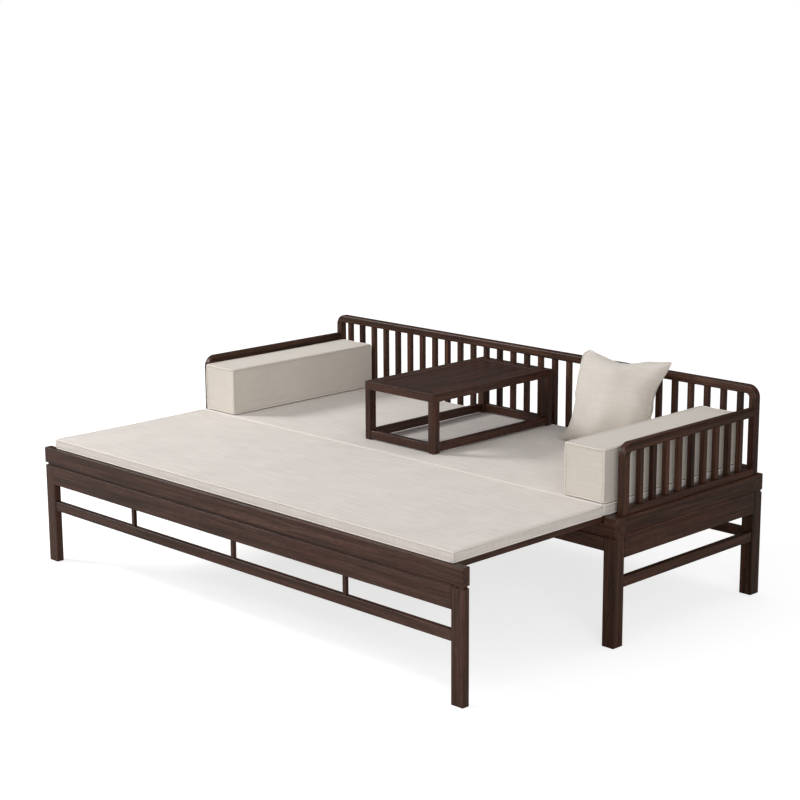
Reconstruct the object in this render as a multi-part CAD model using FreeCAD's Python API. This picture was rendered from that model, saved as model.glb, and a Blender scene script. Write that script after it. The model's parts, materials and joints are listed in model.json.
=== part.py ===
"""Luohan daybed with a pull-out front, in millimetres.

The rear frame carries the back and arm railings. The front frame slides out of it: its slats
lie between the slats of the rear frame and run through notches in that frame's front rail.
X runs along the bed, +Y points to its back, Z is up, and the floor is at zero.
"""
import FreeCAD, Part
import math
import os

Vector = FreeCAD.Vector

# Overall sizes
bed_length = 2000.0
seat_height = 408.0
main_depth = 765.0
arm_rise = 223.5
back_rise = 295.5

# Seat frames
rail_height = 54.0
main_rail_depth = 46.0
front_rail_depth = 28.0
rail_edge = 2.5
waist_height = 9.0
waist_setback = 6.0
apron_height = 65.0
main_front_apron_height = 43.0
apron_edge = 1.5
apron_thickness = 20.0
leg_width = 46.0
leg_edge = 3.5
stretcher_height = 33.0
stretcher_thickness = 20.0
stretcher_setback = 4.0
stretcher_clear_height = 185.0
strut_spacing = 513.0
strut_width = 13.0
strut_thickness = 12.0

# Slats, laid alternately on the fixed and on the pull-out frame
moving_slat_count = 15
slat_width = 54.0
moving_slat_thickness = 20.0
fixed_slat_thickness = 18.0
fixed_slat_seat = 18.0
moving_slat_seat = 14.0
notch_side_clearance = 2.0
slide_clearance = 0.3
slat_tip_gap = 2.0
rear_bar_width = 28.0
rear_bar_height = 28.0
ledge_height = 14.0
ledge_width = 7.7
ledge_bar_gap = 2.0
closed_gap = 4.0

# Joints between wooden pieces
joint_clearance = 0.25
leg_tenon_width = 20.0
leg_tenon_depth = 12.0
leg_tenon_height = 30.0
side_rail_tenon = 10.0
side_rail_tenon_width = 16.0
tenon_wall = 3.0
apron_tenon = 14.0
apron_tenon_thickness = 10.0
stretcher_tenon = 14.0
stretcher_tenon_thickness = 10.0
tenon_shoulder = 6.0
strut_tenon = 6.0
strut_tenon_width = 8.0
strut_tenon_thickness = 7.0

# Railings
railing_thickness = 28.0
top_rail_height = 28.0
bottom_rail_height = 24.0
arm_inset = 7.0
back_inset = 17.0
arm_setback = 45.0
corner_outer_radius = 40.0
rail_outer_round = 7.0
rail_inner_chamfer = 2.0
bottom_rail_edge = 3.0
post_tenon = 13.0
post_tenon_depth = 20.0
pipe_tenon = 12.0
pipe_tenon_height = 14.0
arm_rail_tenon = 10.0
arm_rail_tenon_width = 12.0
arm_rail_tenon_height = 16.0
bottom_rail_tenon = 7.0
bottom_rail_tenon_width = 12.0
bottom_rail_tenon_height = 14.0
arm_spindle_count = 9
back_spindle_count = 29
back_end_gap = 33.0
spindle_width = 17.0
spindle_tenon = 10.0
spindle_tenon_length = 8.0

# Soft goods
soft_clearance = 0.3
mattress_thickness = 33.0
mattress_crown = 1.5
mattress_flattened_share = 0.0
mattress_draw_in = 3.0
mattress_edge = 7.0
mattress_side_gap = 14.0
mattress_front_inset = 12.0
mattress_seam_setback = 6.0
mattress_seam_gap = 2.4
mattress_back_gap = 2.0
bolster_width = 158.0
bolster_height = 165.0
bolster_crown = 4.0
bolster_flattened_share = 0.6
bolster_draw_in = 3.0
bolster_edge = 10.0
bolster_arm_gap = 22.0
bolster_seam_gap = 4.5
bolster_back_gap = 6.0
pillow_width = 350.0
pillow_height = 316.0
pillow_thickness = 166.0
pillow_draw_in = 15.0
pillow_rim = 5.0
pillow_lean_degrees = 22.0
pillow_side_lean_share = 0.094
approach_steps = 6
pillow_bolster_gap = 118.0

# Kang table
table_width = 333.0
table_length = 603.0
table_height = 203.0
table_place_x = -19.0
table_place_back_gap = 18.0
table_frame_thickness = 27.0
table_frame_width = 48.0
table_leg = 28.0
table_edge = 1.5
table_corner_round = 6.0
table_stretcher_height = 28.0
table_stretcher_thickness = 20.0
table_stretcher_setback = 1.5
table_stretcher_lift = 4.0
table_panel_thickness = 12.0
table_panel_drop = 1.0
table_tongue = 6.0
table_tongue_thickness = 5.0
table_tenon = 12.0
table_tenon_height = 14.0
table_stretcher_tenon = 7.0
table_stretcher_tenon_thickness = 8.0

# Places that follow from the sizes
slide_travel = (main_depth - 2 * main_rail_depth - slide_clearance - rear_bar_width
                - ledge_bar_gap - ledge_width)
extension_depth = slide_travel + front_rail_depth + closed_gap
half_length = bed_length / 2
total_depth = main_depth + extension_depth
front_y = -total_depth / 2
back_y = total_depth / 2
main_front_y = front_y + extension_depth
rail_bottom = seat_height - rail_height
leg_top = rail_bottom - waist_height
apron_bottom = leg_top - apron_height
stretcher_top = stretcher_clear_height + stretcher_height
leg_inner_x = half_length - leg_width
main_inner_front_y = main_front_y + main_rail_depth
main_inner_back_y = back_y - main_rail_depth
arm_top = seat_height + arm_rise
back_top = seat_height + back_rise
corner_inner_radius = corner_outer_radius - top_rail_height
railing_outer_x = half_length - arm_inset
railing_inner_x = railing_outer_x - railing_thickness
back_outer_y = back_y - back_inset
back_inner_y = back_outer_y - railing_thickness
arm_front_y = main_front_y + arm_setback
arm_inner_front_y = arm_front_y + railing_thickness
bottom_rail_top = seat_height + bottom_rail_height
slat_count = 2 * moving_slat_count - 1
slat_gap = (2 * leg_inner_x - slat_count * slat_width) / (slat_count + 1)
slat_pitch = slat_width + slat_gap
first_slat_x = -leg_inner_x + slat_gap + slat_width / 2
moving_slat_bottom = seat_height - moving_slat_thickness
fixed_slat_bottom = seat_height - fixed_slat_thickness
rear_bar_front_y = main_inner_front_y + slide_clearance
slat_tip_y = rear_bar_front_y + rear_bar_width + ledge_bar_gap + ledge_width - slat_tip_gap
mattress_half = railing_inner_x - mattress_side_gap
mattress_bottom = seat_height + soft_clearance
mattress_seam_y = main_front_y + mattress_seam_setback
cushion_seat = mattress_bottom + mattress_thickness + mattress_crown + soft_clearance
bolster_inner_x = railing_inner_x - bolster_arm_gap - bolster_width
pillow_x = bolster_inner_x - pillow_bolster_gap - pillow_width / 2

X_AXIS = Vector(1, 0, 0)
Y_AXIS = Vector(0, 1, 0)
Z_AXIS = Vector(0, 0, 1)
ORIGIN = Vector(0, 0, 0)


def block(x, y, z):
    """Box between a low and a high value along each axis."""
    corner = Vector(x[0], y[0], z[0])
    return Part.makeBox(x[1] - x[0], y[1] - y[0], z[1] - z[0], corner)


def grown(span, clearance=joint_clearance):
    """The same span with a clearance at both of its ends."""
    return (span[0] - clearance, span[1] + clearance)


def pocket(x, y, z):
    """Mortise for a tenon of the given spans."""
    return block(grown(x), grown(y), grown(z))


def around(centre, width):
    """Span of a width about its centre."""
    return (centre - width / 2, centre + width / 2)


def eased(shape, radius, direction, facing=None):
    """Round the straight edges of a block that run along one axis, or only those on one side."""
    middle = shape.BoundBox.Center
    edges = []
    for edge in shape.Edges:
        run = edge.Vertexes[-1].Point - edge.Vertexes[0].Point
        along = run.Length > 0 and abs(run.normalize().dot(direction)) > math.cos(math.radians(1))
        if along and (facing is None or (edge.CenterOfMass - middle).dot(facing) > 0):
            edges.append(edge)
    return shape.makeFillet(radius, edges)


def mirrored(shape):
    """Copy of a piece on the other side of the bed's middle."""
    return shape.mirror(ORIGIN, X_AXIS)


def fused(pieces):
    """One solid out of touching pieces."""
    return pieces[0].multiFuse(pieces[1:]).removeSplitter()


def cut_all(shape, tools):
    """A piece with every pocket cut out of it."""
    return shape.cut(Part.makeCompound(tools))


# Slat places


def moving_slat_centres():
    """Centres along X of the slats that slide with the front frame."""
    return [first_slat_x + 2 * index * slat_pitch for index in range(moving_slat_count)]


def fixed_slat_centres():
    """Centres along X of the slats that stay in the rear frame."""
    return [first_slat_x + (2 * index + 1) * slat_pitch for index in range(moving_slat_count - 1)]


# Seat frame joints on the right-hand side, as spans along X, Y and Z


def leg_tenon_spans(leg_y, depth):
    """Tenon on top of a leg, into the seat rail above it."""
    return (around(half_length - leg_width / 2, leg_tenon_width),
            around((leg_y[0] + leg_y[1]) / 2, depth),
            (rail_bottom, rail_bottom + leg_tenon_height))


def apron_tenon_z(height=apron_height):
    """Height of the tenons at the ends of an apron."""
    return (leg_top - height + tenon_shoulder, leg_top - tenon_shoulder)


def stretcher_tenon_z():
    """Height of the tenons at the ends of a stretcher."""
    return (stretcher_clear_height + tenon_shoulder, stretcher_top - tenon_shoulder)


def long_tenon_x(length):
    """Span along X of a tenon that enters the right leg from the middle of the bed."""
    return (leg_inner_x, leg_inner_x + length)


def apron_face_y(face_y, inward):
    """Span along Y of an apron's tenon behind a face of the frame."""
    middle = face_y + inward * apron_thickness / 2
    return around(middle, apron_tenon_thickness)


def stretcher_face_y(face_y, inward):
    """Span along Y of a stretcher's tenon behind a face of the frame."""
    middle = face_y + inward * (stretcher_setback + stretcher_thickness / 2)
    return around(middle, stretcher_tenon_thickness)


def side_apron_x():
    """Span along X of the tenons of the right-hand apron."""
    return around(half_length - apron_thickness / 2, apron_tenon_thickness)


def side_stretcher_x():
    """Span along X of the tenons of the right-hand stretcher."""
    middle = half_length - stretcher_setback - stretcher_thickness / 2
    return around(middle, stretcher_tenon_thickness)


def side_rail_tenon_spans(inner_y, outward):
    """Tenon of the right-hand seat rail into the front or the back rail."""
    ends = sorted((inner_y, inner_y + outward * side_rail_tenon))
    return (around(half_length - main_rail_depth / 2, side_rail_tenon_width),
            tuple(ends),
            (rail_bottom + tenon_shoulder, seat_height - post_tenon_depth - tenon_wall))


def leg_body(y, neck_y, neck_side_setback, tenon_depth):
    """Right-hand leg with its recessed neck and its top tenon."""
    shaft = eased(block((leg_inner_x, half_length), y, (0, leg_top)), leg_edge, Z_AXIS)
    neck_x = (leg_inner_x, half_length - neck_side_setback)
    neck = eased(block(neck_x, neck_y, (leg_top, rail_bottom)), leg_edge, Z_AXIS)
    return fused([shaft, neck, block(*leg_tenon_spans(y, tenon_depth))])


def main_leg(at_front):
    """Right-hand leg of the rear frame, mortised for aprons and stretchers."""
    if at_front:
        y = (main_front_y, main_inner_front_y)
        neck_y = (main_front_y + waist_setback, main_inner_front_y)
        face_y, inward, inner_y = main_front_y, 1, main_inner_front_y
    else:
        y = (main_inner_back_y, back_y)
        neck_y = (main_inner_back_y, back_y - waist_setback)
        face_y, inward, inner_y = back_y, -1, main_inner_back_y
    side_apron_y = tuple(sorted((inner_y, inner_y - inward * apron_tenon)))
    side_stretcher_y = tuple(sorted((inner_y, inner_y - inward * stretcher_tenon)))
    long_apron_z = apron_tenon_z(main_front_apron_height if at_front else apron_height)
    pockets = [
        pocket(long_tenon_x(apron_tenon), apron_face_y(face_y, inward), long_apron_z),
        pocket(side_apron_x(), side_apron_y, apron_tenon_z()),
        pocket(side_stretcher_x(), side_stretcher_y, stretcher_tenon_z()),
    ]
    if not at_front:
        pockets.append(pocket(long_tenon_x(stretcher_tenon), stretcher_face_y(face_y, inward),
                              stretcher_tenon_z()))
    return cut_all(leg_body(y, neck_y, 0, leg_tenon_width), pockets)


def pull_out_leg():
    """Right-hand leg of the front frame."""
    y = (front_y, front_y + front_rail_depth)
    neck_y = (front_y + waist_setback, front_y + front_rail_depth)
    pockets = [
        pocket(long_tenon_x(apron_tenon), apron_face_y(front_y, 1), apron_tenon_z()),
        pocket(long_tenon_x(stretcher_tenon), stretcher_face_y(front_y, 1), stretcher_tenon_z()),
    ]
    return cut_all(leg_body(y, neck_y, waist_setback, leg_tenon_depth), pockets)


def long_apron(face_y, inward, height=apron_height):
    """Apron along X with its recessed tongue and a tenon at each end."""
    y = tuple(sorted((face_y, face_y + inward * apron_thickness)))
    tongue_y = tuple(sorted((face_y + inward * waist_setback, face_y + inward * apron_thickness)))
    x = (-leg_inner_x, leg_inner_x)
    board = eased(block(x, y, (leg_top - height, leg_top)), apron_edge, X_AXIS, Y_AXIS * -inward)
    tongue = block(x, tongue_y, (leg_top, rail_bottom))
    tenon = block(long_tenon_x(apron_tenon), apron_face_y(face_y, inward), apron_tenon_z(height))
    return fused([board, tongue, tenon, mirrored(tenon)])


def side_apron():
    """Right-hand apron of the rear frame, flush with the rail above it."""
    y = (main_inner_front_y, main_inner_back_y)
    board = block((half_length - apron_thickness, half_length), y, (apron_bottom, rail_bottom))
    tenons = block(side_apron_x(), (y[0] - apron_tenon, y[1] + apron_tenon), apron_tenon_z())
    return fused([eased(board, apron_edge, Y_AXIS, X_AXIS), tenons])


def strut_centres():
    """Centres along X of the struts, one in the middle and one on each side of it."""
    return [-strut_spacing, 0, strut_spacing]


def strut_spans(centre_x, face_y, inward):
    """Spans of a strut and of the tenons at its two ends."""
    middle_y = face_y + inward * (stretcher_setback + stretcher_thickness / 2)
    body = (around(centre_x, strut_width), around(middle_y, strut_thickness),
            (stretcher_top, apron_bottom))
    tenon = (around(centre_x, strut_tenon_width), around(middle_y, strut_tenon_thickness),
             (stretcher_top - strut_tenon, apron_bottom + strut_tenon))
    return body, tenon


def struts(face_y, inward):
    """Short struts between the stretcher and the apron, each a solid of its own."""
    made = []
    for centre_x in strut_centres():
        body, tenon = strut_spans(centre_x, face_y, inward)
        made.append(fused([block(*body), block(*tenon)]))
    return Part.makeCompound(made)


def strut_pockets(face_y, inward):
    """Mortises for the tenons of the struts."""
    return [pocket(*strut_spans(centre_x, face_y, inward)[1]) for centre_x in strut_centres()]


def long_stretcher(face_y, inward):
    """Stretcher along X between two legs."""
    near = face_y + inward * stretcher_setback
    y = tuple(sorted((near, near + inward * stretcher_thickness)))
    bar = eased(block((-leg_inner_x, leg_inner_x), y, (stretcher_clear_height, stretcher_top)),
                rail_edge, X_AXIS)
    tenon = block(long_tenon_x(stretcher_tenon), stretcher_face_y(face_y, inward),
                  stretcher_tenon_z())
    return fused([bar, tenon, mirrored(tenon)])


def back_ledge():
    """Ledge on the back rail that carries the tips of the pushed-in slats."""
    top = moving_slat_bottom - slide_clearance
    return block((-leg_inner_x + slat_gap, leg_inner_x - slat_gap),
                 (main_inner_back_y - ledge_width, main_inner_back_y), (top - ledge_height, top))


def side_stretcher():
    """Right-hand stretcher of the rear frame."""
    outer_x = half_length - stretcher_setback
    y = (main_inner_front_y, main_inner_back_y)
    bar = eased(block((outer_x - stretcher_thickness, outer_x), y,
                      (stretcher_clear_height, stretcher_top)), rail_edge, Y_AXIS)
    tenons = block(side_stretcher_x(), (y[0] - stretcher_tenon, y[1] + stretcher_tenon),
                   stretcher_tenon_z())
    return fused([bar, tenons])


# Seat rails


def seat_rail_bar(y, outward):
    """Plain seat rail over the whole length of the bed, eased along its outer edges."""
    return eased(block((-half_length, half_length), y, (rail_bottom, seat_height)),
                 rail_edge, X_AXIS, Y_AXIS * outward)


def both_sides(tool):
    """A cutting tool and its mirror image."""
    return [tool, mirrored(tool)]


def main_front_rail():
    """Front rail of the rear frame: a comb that the pull-out slats run through."""
    y = (main_front_y, main_inner_front_y)
    pockets = both_sides(pocket(*leg_tenon_spans(y, leg_tenon_width)))
    pockets += both_sides(pocket(*side_rail_tenon_spans(main_inner_front_y, -1)))
    notch_z = (moving_slat_bottom - slide_clearance, seat_height + slide_clearance)
    for centre_x in moving_slat_centres():
        low, high = grown(around(centre_x, slat_width), notch_side_clearance)
        if low < -leg_inner_x + slat_gap:
            low = -leg_inner_x
        if high > leg_inner_x - slat_gap:
            high = leg_inner_x
        pockets.append(block((low, high), grown(y), notch_z))
    seat_y = (main_inner_front_y - fixed_slat_seat, main_inner_front_y + joint_clearance)
    pockets += fixed_slat_seats(seat_y)
    return cut_all(seat_rail_bar(y, -1), pockets)


def fixed_slat_seats(seat_y):
    """Housings that take the ends of the fixed slats."""
    seat_z = (fixed_slat_bottom, seat_height + joint_clearance)
    return [block(grown(around(centre_x, slat_width)), seat_y, seat_z)
            for centre_x in fixed_slat_centres()]


def main_back_rail():
    """Back rail of the rear frame, with seats for the slats and the railing posts."""
    y = (main_inner_back_y, back_y)
    pockets = both_sides(pocket(*leg_tenon_spans(y, leg_tenon_width)))
    pockets += both_sides(pocket(*side_rail_tenon_spans(main_inner_back_y, 1)))
    pockets += both_sides(pocket(*post_tenon_spans(back_inner_y)))
    seat_y = (main_inner_back_y - joint_clearance, main_inner_back_y + fixed_slat_seat)
    pockets += fixed_slat_seats(seat_y)
    return cut_all(seat_rail_bar(y, 1), pockets)


def main_side_rail():
    """Right-hand seat rail between the front and the back rail."""
    y = (main_inner_front_y, main_inner_back_y)
    x = (half_length - main_rail_depth, half_length)
    bar = eased(block(x, y, (rail_bottom, seat_height)), rail_edge, Y_AXIS)
    front = block(*side_rail_tenon_spans(main_inner_front_y, -1))
    rear = block(*side_rail_tenon_spans(main_inner_back_y, 1))
    return fused([bar, front, rear]).cut(pocket(*post_tenon_spans(arm_front_y)))


def pull_out_front_rail():
    """Front rail of the pull-out frame, housed for its slats."""
    y = (front_y, front_y + front_rail_depth)
    pockets = both_sides(pocket(*leg_tenon_spans(y, leg_tenon_depth)))
    seat_y = (y[1] - moving_slat_seat, y[1] + joint_clearance)
    seat_z = (moving_slat_bottom, seat_height + joint_clearance)
    for centre_x in moving_slat_centres():
        pockets.append(block(grown(around(centre_x, slat_width)), seat_y, seat_z))
    return cut_all(seat_rail_bar(y, -1), pockets)


# Slats


def fixed_slats():
    """Slats of the rear frame, each a solid of its own."""
    y = (main_inner_front_y - fixed_slat_seat, main_inner_back_y + fixed_slat_seat)
    return Part.makeCompound([block(around(centre_x, slat_width), y, (fixed_slat_bottom, seat_height))
                              for centre_x in fixed_slat_centres()])


def moving_slats():
    """Slats of the pull-out frame, each a solid of its own."""
    y = (front_y + front_rail_depth - moving_slat_seat, slat_tip_y)
    return Part.makeCompound([block(around(centre_x, slat_width), y, (moving_slat_bottom, seat_height))
                              for centre_x in moving_slat_centres()])


def rear_bar():
    """Bar under the tips of the pull-out slats, which stops them at the front rail."""
    x = (-leg_inner_x + slat_gap, leg_inner_x - slat_gap)
    y = (rear_bar_front_y, rear_bar_front_y + rear_bar_width)
    return eased(block(x, y, (moving_slat_bottom - rear_bar_height, moving_slat_bottom)),
                 rail_edge, X_AXIS)


# Railings


def post_tenon_spans(post_y):
    """Tenon under a railing post, into the seat frame."""
    return (around(railing_outer_x - railing_thickness / 2, post_tenon),
            around(post_y + railing_thickness / 2, post_tenon),
            (seat_height - post_tenon_depth, seat_height))


def pipe_tenon_spans(post_y, joint_z):
    """Tenon on top of a post, inside the turned-down end of the top rail."""
    return (around(railing_outer_x - railing_thickness / 2, pipe_tenon),
            around(post_y + railing_thickness / 2, pipe_tenon),
            (joint_z, joint_z + pipe_tenon_height))


def bottom_rail_tenon_z():
    """Height of the tenons at the ends of a bottom rail."""
    return around(seat_height + bottom_rail_height / 2, bottom_rail_tenon_height)


def arm_bottom_tenon_spans(inner_y, outward):
    """Tenon of the right arm's bottom rail into a post."""
    ends = sorted((inner_y, inner_y + outward * bottom_rail_tenon))
    return (around(railing_outer_x - railing_thickness / 2, bottom_rail_tenon_width),
            tuple(ends), bottom_rail_tenon_z())


def arm_top_tenon_spans():
    """Tenon of the right arm's top rail into the back post."""
    return (around(railing_outer_x - railing_thickness / 2, arm_rail_tenon_width),
            (back_inner_y, back_inner_y + arm_rail_tenon),
            around(arm_top - top_rail_height / 2, arm_rail_tenon_height))


def back_bottom_tenon_spans():
    """Tenon of the back's bottom rail into the right post."""
    return ((railing_inner_x, railing_inner_x + bottom_rail_tenon),
            around(back_inner_y + railing_thickness / 2, bottom_rail_tenon_width),
            bottom_rail_tenon_z())


def line(start, end):
    """Straight edge between two points."""
    return Part.LineSegment(start, end).toShape()


def quarter(centre, radius, start_degrees, place):
    """Quarter circle of growing angle in a plane that place(u, w) maps into space."""
    points = []
    for degrees in (0, 45, 90):
        turn = math.radians(start_degrees + degrees)
        points.append(place(centre[0] + radius * math.cos(turn),
                            centre[1] + radius * math.sin(turn)))
    return Part.Arc(*points).toShape()


def edges_over(solid, outline, across):
    """Edges of an extruded solid that lie on some edges of its outline or opposite them."""
    found = []
    for edge in solid.Edges:
        for drawn in outline:
            from_drawn = edge.CenterOfMass - drawn.CenterOfMass
            on_near = from_drawn.Length < joint_clearance
            on_far = (from_drawn - across).Length < joint_clearance
            if on_near or on_far:
                found.append(edge)
                break
    return found


def rounded_bar(outer, inner, ends, across):
    """Bar of an outline, rounded along its outer side and chamfered along its inner side."""
    outline = Part.Wire(Part.__sortEdges__(outer + inner + ends))
    bar = Part.Face(outline).extrude(across)
    bar = bar.makeFillet(rail_outer_round, edges_over(bar, outer, across))
    return bar.makeChamfer(rail_inner_chamfer, edges_over(bar, inner, across))


def post_with_tenons(outer_side, inner_side, post_y, joint_z, across):
    """Post between two vertical lines, given as (x, y), with its tenons."""
    def vertical(side):
        return line(Vector(side[0], side[1], seat_height), Vector(side[0], side[1], joint_z))

    def level(z):
        return line(Vector(outer_side[0], outer_side[1], z), Vector(inner_side[0], inner_side[1], z))

    post = rounded_bar([vertical(outer_side)], [vertical(inner_side)],
                       [level(seat_height), level(joint_z)], across)
    tenons = [block(*post_tenon_spans(post_y)), block(*pipe_tenon_spans(post_y, joint_z))]
    return fused([post] + tenons)


def arm_front_post():
    """Right-hand front post of the arm railing."""
    post = post_with_tenons((railing_inner_x, arm_front_y), (railing_inner_x, arm_inner_front_y),
                            arm_front_y, arm_top - corner_outer_radius,
                            Vector(railing_thickness, 0, 0))
    return post.cut(pocket(*arm_bottom_tenon_spans(arm_inner_front_y, -1)))


def back_post():
    """Right-hand post of the back railing, which also ends the arm."""
    post = post_with_tenons((railing_outer_x, back_inner_y), (railing_inner_x, back_inner_y),
                            back_inner_y, back_top - corner_outer_radius,
                            Vector(0, railing_thickness, 0))
    return cut_all(post, [pocket(*arm_top_tenon_spans()),
                          pocket(*arm_bottom_tenon_spans(back_inner_y, 1)),
                          pocket(*back_bottom_tenon_spans())])


def arm_top_rail():
    """Right-hand arm rail, turned down at its front end onto the post."""
    joint_z = arm_top - corner_outer_radius
    under = arm_top - top_rail_height
    outer_y = arm_front_y + corner_outer_radius
    inner_y = arm_inner_front_y + corner_inner_radius

    def place(y, z):
        return Vector(railing_inner_x, y, z)

    outer = [quarter((outer_y, joint_z), corner_outer_radius, 90, place),
             line(place(outer_y, arm_top), place(back_inner_y, arm_top))]
    inner = [quarter((inner_y, under - corner_inner_radius), corner_inner_radius, 90, place),
             line(place(inner_y, under), place(back_inner_y, under))]
    ends = [line(place(arm_front_y, joint_z), place(arm_inner_front_y, joint_z)),
            line(place(back_inner_y, arm_top), place(back_inner_y, under))]
    rail = rounded_bar(outer, inner, ends, Vector(railing_thickness, 0, 0))
    pockets = [pocket(*pipe_tenon_spans(arm_front_y, joint_z))]
    pockets += [pocket(*upper) for _, _, upper in arm_spindle_spans()]
    return cut_all(fused([rail, block(*arm_top_tenon_spans())]), pockets)


def back_top_rail():
    """Top rail of the back, turned down at both ends onto the posts."""
    joint_z = back_top - corner_outer_radius
    under = back_top - top_rail_height
    outer_x = railing_outer_x - corner_outer_radius
    inner_x = railing_inner_x - corner_inner_radius
    inner_z = under - corner_inner_radius

    def place(x, z):
        return Vector(x, back_inner_y, z)

    outer = [quarter((outer_x, joint_z), corner_outer_radius, 0, place),
             line(place(-outer_x, back_top), place(outer_x, back_top)),
             quarter((-outer_x, joint_z), corner_outer_radius, 90, place)]
    inner = [quarter((inner_x, inner_z), corner_inner_radius, 0, place),
             line(place(-inner_x, under), place(inner_x, under)),
             quarter((-inner_x, inner_z), corner_inner_radius, 90, place)]
    ends = [line(place(side * railing_outer_x, joint_z), place(side * railing_inner_x, joint_z))
            for side in (-1, 1)]
    rail = rounded_bar(outer, inner, ends, Vector(0, railing_thickness, 0))
    pockets = both_sides(pocket(*pipe_tenon_spans(back_inner_y, joint_z)))
    pockets += [pocket(*upper) for _, _, upper in back_spindle_spans()]
    return cut_all(rail, pockets)


def arm_spindle_spans():
    """Spans of each spindle of the right arm: its body, its lower and its upper tenon."""
    x_middle = railing_outer_x - railing_thickness / 2
    pitch = (back_inner_y - arm_inner_front_y) / (arm_spindle_count + 1)
    under = arm_top - top_rail_height
    found = []
    for index in range(arm_spindle_count):
        y_middle = arm_inner_front_y + pitch * (index + 1)
        found.append(spindle_spans(x_middle, y_middle, under))
    return found


def back_spindle_spans():
    """Spans of each spindle of the back."""
    y_middle = back_inner_y + railing_thickness / 2
    first = -railing_inner_x + back_end_gap + spindle_width / 2
    pitch = -2 * first / (back_spindle_count - 1)
    under = back_top - top_rail_height
    return [spindle_spans(first + pitch * index, y_middle, under)
            for index in range(back_spindle_count)]


def spindle_spans(x_middle, y_middle, top):
    """Body, lower tenon and upper tenon of one spindle."""
    body = (around(x_middle, spindle_width), around(y_middle, spindle_width),
            (bottom_rail_top, top))
    tenon_x, tenon_y = around(x_middle, spindle_tenon), around(y_middle, spindle_tenon)
    lower = (tenon_x, tenon_y, (bottom_rail_top - spindle_tenon_length, bottom_rail_top))
    upper = (tenon_x, tenon_y, (top, top + spindle_tenon_length))
    return body, lower, upper


def spindles(all_spans):
    """Spindles with a tenon at each end, each a solid of its own."""
    return Part.makeCompound([fused([block(*spans) for spans in each]) for each in all_spans])


def arm_bottom_rail():
    """Right-hand bottom rail of the arm, lying on the seat frame."""
    x = (railing_inner_x, railing_outer_x)
    bar = block(x, (arm_inner_front_y, back_inner_y), (seat_height, bottom_rail_top))
    bar = eased(bar, bottom_rail_edge, Y_AXIS, Z_AXIS)
    tenons = [block(*arm_bottom_tenon_spans(arm_inner_front_y, -1)),
              block(*arm_bottom_tenon_spans(back_inner_y, 1))]
    return cut_all(fused([bar] + tenons), [pocket(*spans[1]) for spans in arm_spindle_spans()])


def back_bottom_rail():
    """Bottom rail of the back, lying on the seat frame."""
    y = (back_inner_y, back_outer_y)
    bar = block((-railing_inner_x, railing_inner_x), y, (seat_height, bottom_rail_top))
    bar = eased(bar, bottom_rail_edge, X_AXIS, Z_AXIS)
    tenon = block(*back_bottom_tenon_spans())
    return cut_all(fused([bar, tenon, mirrored(tenon)]),
                   [pocket(*spans[1]) for spans in back_spindle_spans()])


# Soft goods


def cushion_ring(station, half_width, low, high, corner, crown):
    """Section of a box cushion across its length: flat below, crowned above and at the sides."""
    slant = corner * (1 - math.cos(math.radians(45)))
    side_crown = crown / 2

    def at(y, z):
        return Vector(station, y, z)

    def corner_arc(side, z, inward):
        start = at(side * half_width, z + inward * corner)
        middle = at(side * (half_width - slant), z + inward * slant)
        end = at(side * (half_width - corner), z)
        return Part.Arc(start, middle, end).toShape()

    def side_arc(side):
        middle = at(side * (half_width + side_crown), (low + high) / 2)
        return Part.Arc(at(side * half_width, low + corner), middle,
                        at(side * half_width, high - corner)).toShape()

    bottom = Part.LineSegment(at(-half_width + corner, low), at(half_width - corner, low)).toShape()
    top = Part.Arc(at(half_width - corner, high), at(0, high + crown),
                   at(-half_width + corner, high)).toShape()
    edges = [bottom, corner_arc(1, low, 1), side_arc(1), corner_arc(1, high, -1), top,
             corner_arc(-1, high, -1), side_arc(-1), corner_arc(-1, low, 1)]
    return Part.Wire(Part.__sortEdges__(edges))


def cushion(length, width, height, edge, crown, flattened_share, draw_in):
    """Box cushion along X on the plane z = 0: crowned, drawn in between its corners.

    The crown flattens towards both ends by a share of its height.
    """
    middle_steps = 4
    end_steps = 2
    stations = []
    for step in range(end_steps):
        turn = math.radians(90 - 90 * step / end_steps)
        inset = edge * (1 - math.cos(turn))
        stations.append((-length / 2 + edge - edge * math.sin(turn), inset))
    for step in range(middle_steps + 1):
        stations.append(((length - 2 * edge) * (step / middle_steps - 1 / 2), 0))
    stations += [(-place, inset) for place, inset in reversed(stations[:end_steps])]
    rings = []
    for place, inset in stations:
        share = min(1, abs(place) / (length / 2 - edge))
        half_width = width / 2 - inset - draw_in * (1 - share ** 2)
        corner = edge - inset / 2
        rings.append(cushion_ring(place, half_width, inset, height - inset, corner,
                                  crown * (1 - flattened_share * share ** 4)))
    return Part.makeLoft(rings, True, True)


def rear_mattress():
    """Mattress on the rear frame."""
    return mattress(mattress_seam_y + mattress_seam_gap, back_inner_y - mattress_back_gap)


def mattress(front, back):
    """Thin mattress over the whole seat between two places along Y."""
    shape = cushion(2 * mattress_half, back - front, mattress_thickness, mattress_edge,
                    mattress_crown, mattress_flattened_share, mattress_draw_in)
    shape.translate(Vector(0, (front + back) / 2, mattress_bottom))
    return shape


def bolster():
    """Right-hand box bolster along the arm."""
    front = mattress_seam_y + bolster_seam_gap
    back = back_inner_y - bolster_back_gap
    shape = cushion(back - front, bolster_width, bolster_height, bolster_edge, bolster_crown,
                    bolster_flattened_share, bolster_draw_in)
    shape.rotate(ORIGIN, Z_AXIS, 90)
    shape.translate(Vector(bolster_inner_x + bolster_width / 2,
                           (front + back) / 2, cushion_seat))
    return shape


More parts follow.
